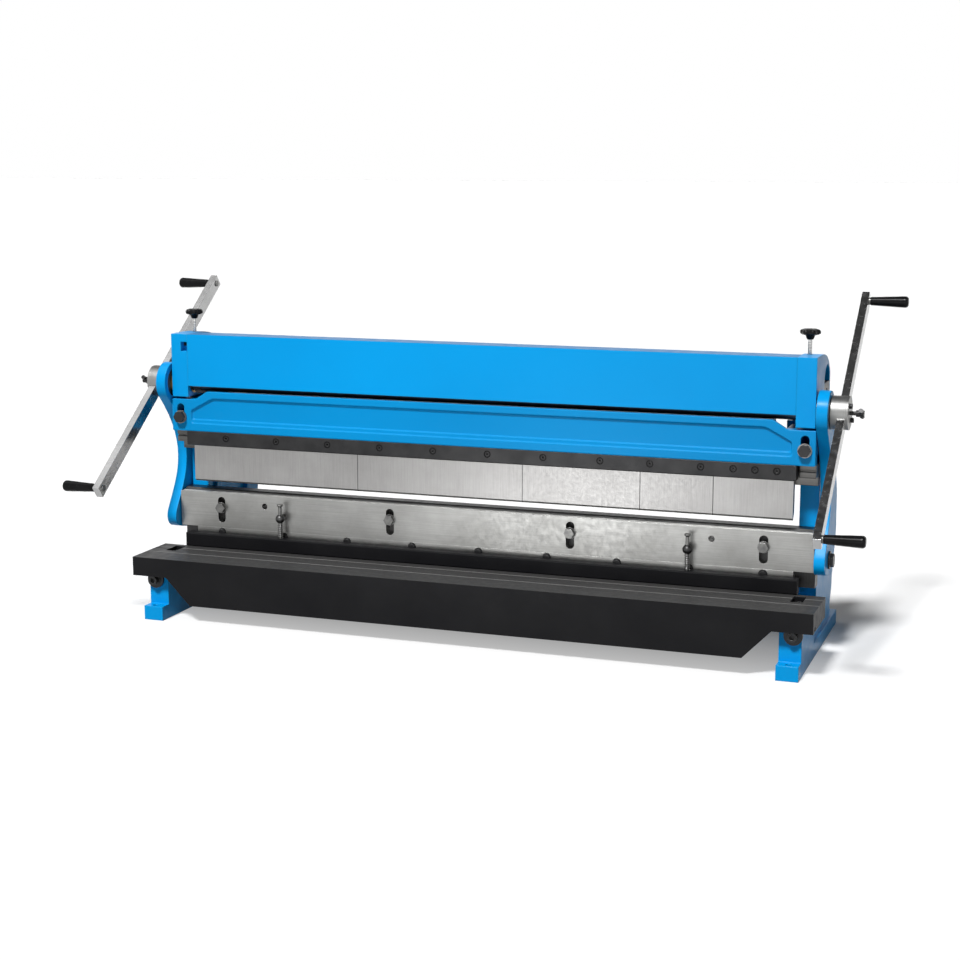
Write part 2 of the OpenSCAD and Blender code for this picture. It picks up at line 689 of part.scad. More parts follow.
spring_points = [for (k = [0:spring_last]) each ring(spring_path, k)];
function at(k, j) = k * spring_sides + j % spring_sides;
spring_faces = concat(
  [for (k = [0:spring_last - 1]) for (j = [0:spring_sides - 1]) each
    [[at(k, j), at(k + 1, j), at(k + 1, j + 1)], [at(k, j), at(k + 1, j + 1), at(k, j + 1)]]],
  [for (j = [1:spring_sides - 2]) [at(0, 0), at(0, j), at(0, j + 1)]],
  [for (j = [1:spring_sides - 2]) [at(spring_last, 0), at(spring_last, j + 1), at(spring_last, j)]]);
spring_gap = min([for (i = [0:spring_last - 5]) for (k = [i + 5:spring_last])
  norm(spring_path[i] - spring_path[k])]) - wire_d;
echo("Spring: least gap to itself in mm", spring_gap);

module hold_down_springs() color("#8a8d91") for (s = [-1, 1])
  translate([s * eye_x, hold_y, 0]) polyhedron(spring_points, spring_faces);

// Drive shaft, bushes, gear, hubs and cranks
module drive_shaft() color("#8d9297") {
  rod_x(-rod_x0, rod_x0, shaft_y, shaft_z, shaft_d);
  both() rod_x(rod_x0, rod_x1, ring_y, shaft_z, eccentric_d);
  both() rod_x(rod_x1 - eps, hub_x0 + journal_l, shaft_y, shaft_z, shaft_end_d);
}

module bushes() color("#a3792f") both() {
  difference() {
    union() {
      rod_x(frame_in, frame_out, shaft_y, shaft_z, bush_d);
      rod_x(frame_out, bush_flange_x, shaft_y, shaft_z, bush_d + 14);
    }
    rod_x(frame_in - eps, bush_flange_x + eps, shaft_y, shaft_z, shaft_d + 2 * running);
  }
  difference() {
    rod_x(frame_in, frame_in + pocket_depth, roll_y, lower_roll_z, roll_bush_d);
    rod_x(frame_in - eps, frame_in + pocket_depth + eps, roll_y, lower_roll_z, journal_d + 2 * running);
  }
}

// Spur gear with straight-sided teeth, tooth centre at angle a0
tooth_step = 360 / gear_teeth;
function tooth(k, a0) = let (a = a0 + k * tooth_step, r = pitch_d / 2)
  [for (q = [[-0.30, -1.25], [-0.205, 0], [-0.075, 0.9], [0.075, 0.9], [0.205, 0], [0.30, -1.25]])
    (r + q[1] * gear_module) * [cos(a + q[0] * tooth_step), sin(a + q[0] * tooth_step)]];

module gear(y, z, a0, bore) color("#6d7074") along_x(-gear_x0 - gear_w, -gear_x0)
  translate([y, z]) difference() {
    polygon([for (k = [0:gear_teeth - 1]) each tooth(k, a0)]);
    circle(d = bore + seat_gap);
  }

mesh_angle = atan2(lower_roll_z - shaft_z, roll_step);
lower_phase = mesh_angle + 180 - tooth_step / 2;
upper_phase = 360 - lower_phase - tooth_step / 2;
gear_seat_d = 26;

module drive_gear() gear(shaft_y, shaft_z, mesh_angle, shaft_d);
module lower_roll_gear() gear(roll_y, lower_roll_z, lower_phase, gear_seat_d);
module upper_roll_gear() gear(roll_y, upper_roll_z, upper_phase, gear_seat_d);

// Crank parts are drawn with the bar level, then turned to rest
module on_crank() translate([0, shaft_y, shaft_z]) rotate([crank_angle, 0, 0]) children();

cap_screw_r = bar_h / 2 + 5.5;
t_handle_x = bar_x1 + cap_t + 22;

module hubs() color("#b4b9be") both() on_crank() difference() {
  rod_x(hub_x0, bar_x1, 0, 0, hub_d);
  rod_x(hub_x0 - eps, hub_x0 + journal_l, 0, 0, shaft_end_d + seat_gap);
  box(bar_x0, bar_x1 + eps, -hub_d, hub_d, -bar_h / 2, bar_h / 2);
  for (s = [-1, 1]) rod_x(bar_x1 - 12, bar_x1 + eps, 0, s * cap_screw_r, 6.2);
}

module hub_caps() color("#b4b9be") both() on_crank() difference() {
  rod_x(bar_x1, bar_x1 + cap_t, 0, 0, hub_d);
  for (s = [-1, 1]) rod_x(bar_x1 - eps, bar_x1 + cap_t + eps, 0, s * cap_screw_r, 6.4);
  rod_x(bar_x1 - eps, bar_x1 + cap_t + eps, 0, 0, 8.2);
}

module hub_cap_screws() color("#2b2b2d") both() on_crank() for (s = [-1, 1]) difference() {
  union() {
    rod_x(bar_x1 - 11, bar_x1 + cap_t + eps, 0, s * cap_screw_r, 6);
    rod_x(bar_x1 + cap_t, bar_x1 + cap_t + 6, 0, s * cap_screw_r, 10);
  }
  translate([bar_x1 + cap_t + 3, 0, s * cap_screw_r]) rotate([0, 90, 0]) cylinder(h = 4, d = 5.8, $fn = 6);
}

module clamp_screw() color("#1d1e20") on_crank() {
  rod_x(bar_x1, t_handle_x, 0, 0, 8);
  rod_x(bar_x1 + cap_t + 12, t_handle_x + 5, 0, 0, 13);
  translate([t_handle_x, 0, 0]) rotate([20, 0, 0]) rod_z(-14, 14, 0, 0, 9);
}

module left_clamp_screw() mirror([1, 0, 0]) clamp_screw();
module right_clamp_screw() clamp_screw();

module crank_bar() color("#bfc4c9") on_crank() difference() {
  box(bar_x0, bar_x1, -crank_r - 13, crank_r + 13, -bar_h / 2, bar_h / 2);
  for (s = [-1, 1]) rod_x(bar_x0 - eps, bar_x1 + eps, s * crank_r, 0, spindle_shank_d + seat_gap);
}

module left_crank_bar() mirror([1, 0, 0]) crank_bar();
module right_crank_bar() crank_bar();

spindle_d = 8;
spindle_shank_d = 10;
grip_x0 = bar_x1 + 2.8;
grip_x1 = grip_x0 + grip_l;

module grip_spindles() color("#8d9297") both() on_crank() for (s = [-1, 1]) {
  rod_x(bar_x0 - 1.6, bar_x0, s * crank_r, 0, 14);
  rod_x(bar_x0 - eps, bar_x1, s * crank_r, 0, spindle_shank_d);
  rod_x(bar_x1, bar_x1 + 2.5, s * crank_r, 0, 15);
  rod_x(bar_x1 + eps, grip_x1 - 4, s * crank_r, 0, spindle_d);
}

module grip(s) color("#141416") on_crank() translate([grip_x0, s * crank_r, 0]) rotate([0, 90, 0])
  rotate_extrude() polygon(concat(
    [[spindle_d / 2 + running, 0], [7.6, 0], [8.6, 1], [11.6, grip_l - 8]],
    smooth([11.6, grip_l - 8], [11.9, grip_l - 3], [9.5, grip_l], [5, grip_l], 5),
    [[0, grip_l], [0, grip_l - 3.6], [spindle_d / 2 + running, grip_l - 3.6]]));

module left_front_grip() mirror([1, 0, 0]) grip(-1);
module left_rear_grip() mirror([1, 0, 0]) grip(1);
module right_front_grip() grip(-1);
module right_rear_grip() grip(1);

// Connecting rods: a ring, a bowed arm between two arcs, and an eye with a toe
bow_y = -180;
bow_z = (shaft_z + pivot_z) / 2 - 13.5;
bow_in = 164;
bow_out = 204;

module rod_outline() difference() {
  union() {
    translate([ring_y, shaft_z]) circle(d = ring_d);
    translate([pivot_y, pivot_z]) circle(r = 36);
    translate([pivot_y - 19, pivot_z - 7]) circle(r = 27);
    intersection() {
      difference() {
        translate([bow_y, bow_z]) circle(r = bow_out);
        translate([bow_y, bow_z]) circle(r = bow_in);
      }
      polygon([[bow_y, bow_z], [ring_y + 40, shaft_z - 20], [150, bow_z], [pivot_y + 16, pivot_z - 8]]);
    }
  }
  translate([ring_y, shaft_z]) circle(d = eccentric_d + 2 * running);
  translate([pivot_y, pivot_z]) circle(d = pin_d);
}

module right_connecting_rod() color("#0b8fd6") along_x(rod_x0 + 0.1, rod_x1 - 0.1) rod_outline();
module left_connecting_rod() mirror([1, 0, 0]) right_connecting_rod();

module right_pivot_bolt() color("#2b2b2d") {
  rod_x(beam_half - 16, rod_x0 + 0.2, pivot_y, pivot_z, pin_nose_d);
  rod_x(rod_x0 + 0.1, rod_x1, pivot_y, pivot_z, pin_d);
  rod_x(rod_x1 - 0.1, rod_x1 + 2.9, pivot_y, pivot_z, 36);
  translate([rod_x1 + 2, pivot_y, pivot_z]) rotate([0, 90, 0]) cylinder(h = 8, d = 24 / cos(30), $fn = 6);
}

module left_pivot_bolt() mirror([1, 0, 0]) right_pivot_bolt();

// Slip rolls
module roll_core(y, z, groove) color("#b9bec3") translate([0, y, z]) difference() {
  union() {
    rod_x(-roll_left, roll_right, 0, 0, roll_d);
    rod_x(-gear_x0 - gear_w - 4, -roll_left + eps, 0, 0, gear_seat_d);
    both() rod_x(roll_right - 30, frame_in + pocket_depth - 2, 0, 0, journal_d);
  }
  if (groove) for (i = [1:3]) translate([roll_right - 22 * i, 0, 0]) rotate([0, 90, 0])
    rotate_extrude() translate([roll_d / 2, 0]) circle(r = 2 + i);
}

module upper_roll() roll_core(roll_y, upper_roll_z, false);
module lower_roll() roll_core(roll_y, lower_roll_z, true);

module rear_roll() color("#b9bec3") {
  rod_x(-rear_half, rear_half, rear_roll_y, rear_roll_z, roll_d);
  both() rod_x(rear_half - eps, frame_out - 2, rear_roll_y, rear_roll_z, journal_d);
}

module upper_roll_blocks() color("#6d7074") both() difference() {
  box(frame_in + 0.2, frame_in + pocket_depth - slide_gap, roll_y - block_half + slide_gap,
      roll_y + block_half - slide_gap, upper_roll_z - block_low, upper_roll_z + block_low);
  rod_x(frame_in - eps, frame_in + pocket_depth + eps, roll_y, upper_roll_z, journal_d + 2 * running);
}

module rear_roll_blocks() color("#6d7074") both() difference() {
  union() {
    box(frame_in + 0.2, frame_out - slide_gap,
        rear_roll_y - rear_slot / 2 + slide_gap, rear_roll_y + rear_slot / 2 - slide_gap,
        rear_roll_z - rear_block_h / 2, rear_roll_z + rear_block_h / 2);
    box(adjuster_x - 13, frame_in + eps, rear_roll_y - 13, rear_roll_y + 13,
        rear_roll_z - rear_block_h / 2, rear_roll_z - journal_d / 2 - 2);
  }
  rod_x(frame_in - eps, frame_out + eps, rear_roll_y, rear_roll_z, journal_d + 2 * running);
}

// Hand knobs and screws
module lobed_knob(t) linear_extrude(t) {
  circle(d = 0.8 * knob_d);
  for (i = [0:5]) rotate(60 * i) translate([0.37 * knob_d, 0]) circle(d = 0.26 * knob_d);
}

stud_low = upper_roll_z + block_low;
knob_z = head_top + stud_free;

// Moulded knob on a steel stud
module pressure_knob() {
  color("#b9bec3") rod_z(stud_low, knob_z + 6, stud_x, roll_y, stud_d);
  color("#141416") translate([stud_x, roll_y, knob_z]) difference() {
    union() {
      cylinder(h = 10, d = 18);
      translate([0, 0, 9]) lobed_knob(12);
    }
    translate([0, 0, -eps]) cylinder(h = 6 + eps, d = stud_d);
  }
}

module left_pressure_knob() mirror([1, 0, 0]) pressure_knob();
module right_pressure_knob() pressure_knob();

adjuster_top = rear_roll_z - rear_block_h / 2;
adjuster_knob_z = boss_z - 34;

module rear_adjuster() color("#3a3d41") {
  rod_z(adjuster_knob_z + 4, adjuster_top, adjuster_x, rear_roll_y, stud_d);
  translate([adjuster_x, rear_roll_y, adjuster_knob_z]) lobed_knob(13);
}

module left_rear_adjuster() mirror([1, 0, 0]) rear_adjuster();
module right_rear_adjuster() rear_adjuster();

left_side_frame();
right_side_frame();
rear_tie_rod();
roll_cover();
cover_screws();
table();
lower_blade();
lower_blade_screws();
table_bolts();
table_levelling_bolts();
brake_beam_bolts();
bushes();
brake_beam();
finger_clamp_bar();
clamp_set_screws();
finger_1();
finger_2();
finger_3();
finger_4();
finger_5();
ram();
ram_guide_shoes();
die_bolts();
die_washers();
upper_blade();
upper_blade_screws();
die_plate();
eye_studs();
hold_down_bar();
hold_down_rods();
hold_down_springs();
drive_shaft();
drive_gear();
hubs();
hub_caps();
hub_cap_screws();
left_crank_bar();
right_crank_bar();
grip_spindles();
left_front_grip();
left_rear_grip();
right_front_grip();
right_rear_grip();
left_clamp_screw();
right_clamp_screw();
left_connecting_rod();
right_connecting_rod();
left_pivot_bolt();
right_pivot_bolt();
upper_roll();
upper_roll_gear();
upper_roll_blocks();
lower_roll();
lower_roll_gear();
rear_roll();
rear_roll_blocks();
left_pressure_knob();
right_pressure_knob();
left_rear_adjuster();
right_rear_adjuster();
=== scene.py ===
import json
import math
from functools import partial

import bmesh
import bpy
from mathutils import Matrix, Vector


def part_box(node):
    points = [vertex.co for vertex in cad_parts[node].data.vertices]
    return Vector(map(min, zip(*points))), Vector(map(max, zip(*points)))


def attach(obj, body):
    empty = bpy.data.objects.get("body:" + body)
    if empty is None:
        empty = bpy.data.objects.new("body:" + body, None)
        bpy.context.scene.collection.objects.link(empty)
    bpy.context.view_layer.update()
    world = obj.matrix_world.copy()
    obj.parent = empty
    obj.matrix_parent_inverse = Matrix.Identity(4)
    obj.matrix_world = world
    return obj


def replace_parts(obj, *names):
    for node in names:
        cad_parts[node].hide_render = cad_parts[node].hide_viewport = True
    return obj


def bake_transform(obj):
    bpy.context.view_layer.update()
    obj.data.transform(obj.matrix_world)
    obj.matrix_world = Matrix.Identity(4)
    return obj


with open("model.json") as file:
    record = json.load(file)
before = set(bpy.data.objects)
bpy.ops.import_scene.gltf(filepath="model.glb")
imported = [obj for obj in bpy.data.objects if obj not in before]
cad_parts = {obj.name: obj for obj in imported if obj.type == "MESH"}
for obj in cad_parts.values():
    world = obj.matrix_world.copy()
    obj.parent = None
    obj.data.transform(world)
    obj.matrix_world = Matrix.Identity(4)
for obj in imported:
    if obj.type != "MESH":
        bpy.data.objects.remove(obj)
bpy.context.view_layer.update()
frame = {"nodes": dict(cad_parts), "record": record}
nodes = frame["nodes"]


# How noise is stretched so that it turns into lines along an axis, or into rings round it
ALONG_X = (0.01, 1, 1)
ALONG_Z = (1, 1, 0.02)
ROUND_X = (1, 0.02, 0.02)
TOOL_RINGS = (1, 0.03, 0.03)
THREAD_TURNS = (0.1, 0.1, 1)

# Bands of a noise's value over which a colour or a roughness changes
NOISE_BAND = (0.3, 0.7)
MOTTLE_BAND = (0.3, 0.75)
CLOUD_BAND = (0.35, 0.7)
GRAIN_BAND = (0.42, 0.72)
STAIN_BAND = (0.56, 0.70)
THREAD_BAND = (0.35, 0.65)

# Cosine of the bend at which an edge starts to show, and at which it shows fully
EDGE_BEND = (0.995, 0.80)
BEVEL_SAMPLES = 6


# Small helpers for shader nodes

def grey(level):
    """A colour with as much red, green and blue."""
    return (level, level, level)


class Shader:
    """A material with one Principled shader and short calls to add and link nodes."""

    def __init__(self, name):
        self.material = bpy.data.materials.new(name)
        self.material.use_nodes = True
        self.tree = self.material.node_tree
        self.surface = self.tree.nodes["Principled BSDF"]
        self.coordinates = self.add("ShaderNodeTexCoord").outputs["Object"]

    def add(self, kind, **settings):
        made = self.tree.nodes.new(kind)
        for key, value in settings.items():
            setattr(made, key, value)
        return made

    def link(self, source, target):
        self.tree.links.new(source, target)

    def set(self, **values):
        """Sets inputs of the surface, with their names written with underscores."""
        for key, value in values.items():
            self.surface.inputs[key.replace("_", " ")].default_value = value

    def feed(self, socket, source):
        self.link(source, self.surface.inputs[socket])

    def noise(self, scale, detail=4.0, rough=0.5, stretch=(1, 1, 1)):
        mapping = self.add("ShaderNodeMapping")
        mapping.inputs["Scale"].default_value = stretch
        self.link(self.coordinates, mapping.inputs["Vector"])
        made = self.add("ShaderNodeTexNoise")
        made.inputs["Scale"].default_value = scale
        made.inputs["Detail"].default_value = detail
        made.inputs["Roughness"].default_value = rough
        self.link(mapping.outputs["Vector"], made.inputs["Vector"])
        return made.outputs["Fac"]

    def ramp(self, source, band, first, second):
        """A colour that goes from one tone to another while a value goes through a band."""
        made = self.add("ShaderNodeValToRGB")
        for element, place, colour in zip(made.color_ramp.elements, band, (first, second)):
            element.position = place
            element.color = (*colour, 1)
        self.link(source, made.inputs["Fac"])
        return made.outputs["Color"]

    def span(self, source, low, high, new_low, new_high):
        made = self.add("ShaderNodeMapRange")
        for socket, value in zip(
            ("From Min", "From Max", "To Min", "To Max"), (low, high, new_low, new_high)
        ):
            made.inputs[socket].default_value = value
        self.link(source, made.inputs["Value"])
        return made.outputs["Result"]

    def between(self, share, first, second):
        """A value that goes from first to second while a share goes from 0 to 1."""
        return self.span(share, 0.0, 1.0, first, second)

    def mix(self, share, first, second):
        made = self.add("ShaderNodeMix", data_type="RGBA")
        self.link(share, made.inputs["Factor"])
        for socket, value in (("A", first), ("B", second)):
            target = [s for s in made.inputs if s.name == socket and s.type == "RGBA"][0]
            if isinstance(value, tuple):
                target.default_value = (*value, 1)
            else:
                self.link(value, target)
        return [s for s in made.outputs if s.type == "RGBA"][0]

    def beyond(self, axis, limit, blur=0.0002):
        """1 where the X, Y or Z coordinate lies beyond a limit, and 0 before it."""
        split = self.add("ShaderNodeSeparateXYZ")
        self.link(self.coordinates, split.inputs["Vector"])
        return self.span(split.outputs[axis], limit - blur, limit + blur, 0.0, 1.0)

    def stripe(self, axis, place, half, colour, ground):
        """The ground colour with a stripe of another colour at a place on an axis."""
        after = self.mix(self.beyond(axis, place + half), colour, ground)
        return self.mix(self.beyond(axis, place - half), ground, after)

    def mottle(self, dark, light, scale, detail):
        """A colour that drifts between two tones with a noise."""
        return self.ramp(self.noise(scale, detail), MOTTLE_BAND, dark, light)

    def roughness(self, scale, detail, low, high):
        """Roughness that drifts between two values with a noise."""
        self.feed("Roughness", self.span(self.noise(scale, detail), *NOISE_BAND, low, high))

    def soft_normal(self, radius):
        """The normal of the surface with its edges rounded off."""
        bevel = self.add("ShaderNodeBevel", samples=BEVEL_SAMPLES)
        bevel.inputs["Radius"].default_value = radius
        return bevel.outputs["Normal"]

    def edges(self, radius):
        """High where the surface bends sharply, within radius of an edge."""
        geometry = self.add("ShaderNodeNewGeometry")
        dot = self.add("ShaderNodeVectorMath", operation="DOT_PRODUCT")
        self.link(self.soft_normal(radius), dot.inputs[0])
        self.link(geometry.outputs["Normal"], dot.inputs[1])
        return self.span(dot.outputs["Value"], *EDGE_BEND, 0.0, 1.0)

    def relief(self, source, distance, strength, edge_radius):
        """Bump from a height, on top of softly rounded edges."""
        bump = self.add("ShaderNodeBump")
        bump.inputs["Distance"].default_value = distance
        bump.inputs["Strength"].default_value = strength
        self.link(source, bump.inputs["Height"])
        self.link(self.soft_normal(edge_radius), bump.inputs["Normal"])
        self.feed("Normal", bump.outputs["Normal"])


# Materials; pairs of colours are a dark and a light tone, as linear red, green and blue

ENAMEL_TONES = ((0.0, 0.285, 0.67), (0.0, 0.31, 0.72))
ENAMEL_EDGE = (0.01, 0.33, 0.70)
# Darker blue for the top face of the cover: painted shade
TOP_SHADE_ENAMEL = (0.0, 0.17, 0.42)
BARE_IRON_TONES = ((0.08, 0.078, 0.075), (0.16, 0.157, 0.152))
BARE_IRON_METAL = 0.8


def gloss_enamel(name, bare_below=None, dim_above=None, depth=1.0):
    """Sky blue enamel with a faint orange peel; bare machined iron below a height, and above one a darker
    blue that is painted shade.
    """
    s = Shader(name)
    # depth darkens the whole enamel: painted shade, for a copy of the paint that lies in shade
    tones = [tuple(depth * c for c in tone) for tone in ENAMEL_TONES]
    body = s.ramp(s.noise(scale=3.0, detail=3.0), NOISE_BAND, *tones)
    colour = s.mix(s.edges(radius=0.003), body, ENAMEL_EDGE)
    if bare_below is not None:
        painted = s.beyond("Z", bare_below)
        lines = s.noise(scale=60.0, detail=6.0, rough=0.7, stretch=ALONG_X)
        colour = s.mix(painted, s.ramp(lines, NOISE_BAND, *BARE_IRON_TONES), colour)
        s.feed("Metallic", s.between(painted, BARE_IRON_METAL, 0.0))
    # Painted shade: above a height the enamel turns a darker blue
    if dim_above is not None:
        colour = s.mix(s.beyond("Z", dim_above), colour, TOP_SHADE_ENAMEL)
    s.feed("Base Color", colour)
    s.roughness(scale=40.0, detail=5.0, low=0.28, high=0.38)
    s.set(Specular_IOR_Level=0.12)
    s.relief(s.noise(scale=120.0, detail=2.0), distance=0.0002, strength=0.15, edge_radius=0.003)
    return s.material


CASTING_TONES = ((0.006, 0.006, 0.007), (0.011, 0.011, 0.012))
CASTING_EDGE = (0.03, 0.03, 0.032)
PLANED_TONES = (grey(0.03), (0.06, 0.059, 0.058))
# Bright stripes on the planed top are painted highlights, for the glint on the edges of steps
STEP_GLINT = (0.26, 0.255, 0.25)
GLINT_HALF = 0.0012


def black_casting(name, sheen, bare_above=None, steps=()):
    """Black paint over pebbled cast iron; above a height it may be planed, with painted highlight lines
    along X for the glint of steps.
    """
    s = Shader(name)
    tone = s.mottle(*CASTING_TONES, scale=9.0, detail=6.0)
    colour = s.mix(s.edges(radius=0.002), tone, CASTING_EDGE)
    if bare_above is not None:
        lines = s.noise(scale=500.0, detail=6.0, rough=0.7, stretch=ALONG_X)
        planed = s.ramp(lines, NOISE_BAND, *PLANED_TONES)
        for place in steps:
            # Painted highlight: a bright stripe for each step's glint
            planed = s.stripe("Y", place, GLINT_HALF, STEP_GLINT, planed)
        colour = s.mix(s.beyond("Z", bare_above), colour, planed)
    s.feed("Base Color", colour)
    s.roughness(scale=60.0, detail=6.0, low=0.36, high=0.50)
    s.set(Specular_IOR_Level=sheen)
    s.relief(s.noise(scale=420.0, detail=4.0), distance=0.0003, strength=0.22, edge_radius=0.0014)
    return s.material


# Tone of the grooves against the dark tone, how far they show, and tone of rubbed edges
# against the light tone
GROOVE_SHARE = 0.72
GROOVE_DEPTH = 0.45
RUBBED_SHARE = 1.2
ROUGH_BELOW = 0.06
ROUGH_ABOVE = 0.08
RUST = (0.20, 0.12, 0.07)
# Dark stripes at the seams between fingers are painted shade
SEAM_SHADE = grey(0.08)
SEAM_HALF = 0.0008


def ground_steel(name, light, dark, rough, grain, coarse=1.0, rust=0.0, seams=()):
    """Ground steel: grain lines along one axis, cloudy tone and fine scratches, with painted shade in the
    seams along X.
    """
    s = Shader(name)
    lines = s.noise(scale=700.0, detail=6.0, rough=0.65, stretch=grain)
    clouds = s.noise(scale=7.0 * coarse, detail=5.0, rough=0.6)
    fine = s.noise(scale=90.0 * coarse, detail=4.0, rough=0.6)
    cloudy = s.mix(s.span(clouds, *CLOUD_BAND, 0.0, 1.0), dark, light)
    groove = tuple(GROOVE_SHARE * c for c in dark)
    lined = s.mix(s.span(lines, *GRAIN_BAND, 0.0, GROOVE_DEPTH), cloudy, groove)
    rubbed = tuple(RUBBED_SHARE * c for c in light)
    colour = s.mix(s.edges(radius=0.0012), lined, rubbed)
    if rust:
        stain = s.span(s.noise(scale=16.0, detail=8.0, rough=0.7), *STAIN_BAND, 0.0, rust)
        colour = s.mix(stain, colour, RUST)
    # Painted shade: a dark stripe for the shadow in the gap between two fingers
    for place in seams:
        colour = s.stripe("X", place, SEAM_HALF, SEAM_SHADE, colour)
    s.feed("Base Color", colour)
    s.feed("Roughness", s.span(fine, *NOISE_BAND, rough - ROUGH_BELOW, rough + ROUGH_ABOVE))
    s.set(Metallic=1.0)
    s.relief(lines, distance=0.00006, strength=0.5, edge_radius=0.0007)
    return s.material


OXIDE_TONES = ((0.013, 0.013, 0.014), (0.030, 0.030, 0.031))
OXIDE_EDGE = grey(0.11)


def black_oxide():
    """Black oxide on steel: dark, oily sheen and rubbed edges."""
    s = Shader("black_oxide")
    tone = s.mottle(*OXIDE_TONES, scale=30.0, detail=6.0)
    s.feed("Base Color", s.mix(s.edges(radius=0.0009), tone, OXIDE_EDGE))
    s.roughness(scale=120.0, detail=5.0, low=0.30, high=0.48)
    s.set(Metallic=0.55)
    s.relief(s.noise(scale=900.0, detail=3.0), distance=0.00008, strength=0.4, edge_radius=0.0006)
    return s.material


ZINC_TONES = (grey(0.12), (0.22, 0.22, 0.21))
ZINC_EDGE = grey(0.4)


def zinc_plate():
    """Dull zinc on fasteners."""
    s = Shader("zinc_plate")
    tone = s.mottle(*ZINC_TONES, scale=80.0, detail=5.0)
    s.feed("Base Color", s.mix(s.edges(radius=0.0008), tone, ZINC_EDGE))
    s.roughness(scale=200.0, detail=4.0, low=0.30, high=0.45)
    s.set(Metallic=1.0)
    s.relief(s.noise(scale=1200.0, detail=3.0), distance=0.00006, strength=0.4, edge_radius=0.0005)
    return s.material


BRONZE_TONES = ((0.32, 0.19, 0.07), (0.52, 0.34, 0.14))


def bearing_bronze():
    """Turned bearing bronze with tool rings."""
    s = Shader("bearing_bronze")
    rings = s.noise(scale=900.0, detail=4.0, rough=0.6, stretch=TOOL_RINGS)
    s.feed("Base Color", s.ramp(rings, NOISE_BAND, *BRONZE_TONES))
    s.roughness(scale=70.0, detail=4.0, low=0.28, high=0.42)
    s.set(Metallic=1.0)
    s.relief(rings, distance=0.00005, strength=0.5, edge_radius=0.0005)
    return s.material


PLASTIC_TONES = (grey(0.004), (0.009, 0.009, 0.010))
THREAD_TONES = (grey(0.30), (0.55, 0.55, 0.54))


def moulded_plastic(name, steel_below=None):
    """Glossy black moulded plastic; below a height it may be the steel stud it is moulded on."""
    s = Shader(name)
    colour = s.mottle(*PLASTIC_TONES, scale=35.0, detail=4.0)
    if steel_below is not None:
        plastic = s.beyond("Z", steel_below)
        turns = s.noise(scale=900.0, detail=3.0, rough=0.5, stretch=THREAD_TURNS)
        colour = s.mix(plastic, s.ramp(turns, THREAD_BAND, *THREAD_TONES), colour)
        s.feed("Metallic", s.between(plastic, 1.0, 0.0))
    s.feed("Base Color", colour)
    s.roughness(scale=150.0, detail=4.0, low=0.18, high=0.30)
    s.set(Specular_IOR_Level=0.1)
    s.relief(s.noise(scale=500.0, detail=3.0), distance=0.00006, strength=0.4, edge_radius=0.0010)
    return s.material


HEX_TONES = ((0.012, 0.012, 0.013), (0.028, 0.028, 0.029))
WASHER_TONES = (grey(0.16), (0.30, 0.30, 0.29))
HEX_METAL = 0.4


def washer_and_hex(face_y):
    """Black oxide hexagon heads in front of a plane, zinc washers behind it."""
    s = Shader("washer_and_hex")
    washer = s.beyond("Y", face_y)
    black = s.mottle(*HEX_TONES, scale=30.0, detail=6.0)
    zinc = s.mottle(*WASHER_TONES, scale=80.0, detail=5.0)
    s.feed("Base Color", s.mix(washer, black, zinc))
    s.feed("Metallic", s.between(washer, HEX_METAL, 1.0))
    s.roughness(scale=160.0, detail=4.0, low=0.30, high=0.45)
    s.relief(s.noise(scale=900.0, detail=3.0), distance=0.00006, strength=0.4, edge_radius=0.0006)
    return s.material


# Which look each CAD node has

FINGERS = ["finger_1", "finger_2", "finger_3", "finger_4", "finger_5"]
SEAMS = [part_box(name)[0].x for name in FINGERS[1:]]

ENAMEL = gloss_enamel("blue_enamel")
CASTING = black_casting("black_casting", sheen=0.18)
DULL_BLACK = black_casting("dull_black", sheen=0.06)
OXIDE = black_oxide()
ZINC = zinc_plate()
BRONZE = bearing_bronze()
PLASTIC = moulded_plastic("moulded_plastic")
PLATE = ground_steel(
    "ground_plate", light=(0.40, 0.40, 0.39), dark=(0.28, 0.28, 0.27), rough=0.36, grain=ALONG_X,
)
FINGER = ground_steel(
    "ground_finger", light=(0.37, 0.365, 0.36), dark=(0.32, 0.315, 0.31), rough=0.36, grain=ALONG_Z,
    coarse=1.6, seams=SEAMS,
)
CHROME = ground_steel(
    "polished_bar", light=grey(0.50), dark=grey(0.38), rough=0.22, grain=ALONG_X,
)
TURNED = ground_steel(
    "turned_steel", light=(0.32, 0.32, 0.315), dark=(0.23, 0.23, 0.225), rough=0.44, grain=ROUND_X,
)
MILLED = ground_steel(
    "milled_steel", light=(0.24, 0.235, 0.23), dark=(0.15, 0.145, 0.14), rough=0.40, grain=ALONG_X,
    rust=0.35,
)
# Painted shade: parts deep inside the machine get a near-black steel, for the shade they lie in
SHADE_DARK_STEEL = ground_steel(
    "shade_dark_steel", light=grey(0.10), dark=grey(0.05), rough=0.42, grain=ROUND_X,
)
WIRE = ground_steel(
    "spring_wire", light=grey(0.36), dark=grey(0.22), rough=0.32, grain=ALONG_Z,
)

LOOKS = {
    "blue_paint": ENAMEL,
    "black_iron": CASTING,
    "black_oxide": OXIDE,
    "zinc_steel": ZINC,
    "bright_steel": PLATE,
    "machined_steel": MILLED,
    "bronze": BRONZE,
    "spring_steel": WIRE,
    "black_plastic": PLASTIC,
}


def dress(name, look):
    """Gives a CAD node one material."""
    nodes[name].data.materials.clear()
    nodes[name].data.materials.append(look)


for part in frame["record"]["subparts"]:
    dress(part["node"], LOOKS[part["material_slot"]])

# How far the planes between two looks lie from the faces of the CAD
KNOB_HEIGHT = 0.021
HEAD_BACK = 0.0033
PLANED_DEPTH = 0.0005
COVER_EDGE = 0.0004
# Places of the two painted highlight lines for step glints, between the front and the back of the table
GLINT_SHARES = (0.42, 0.73)
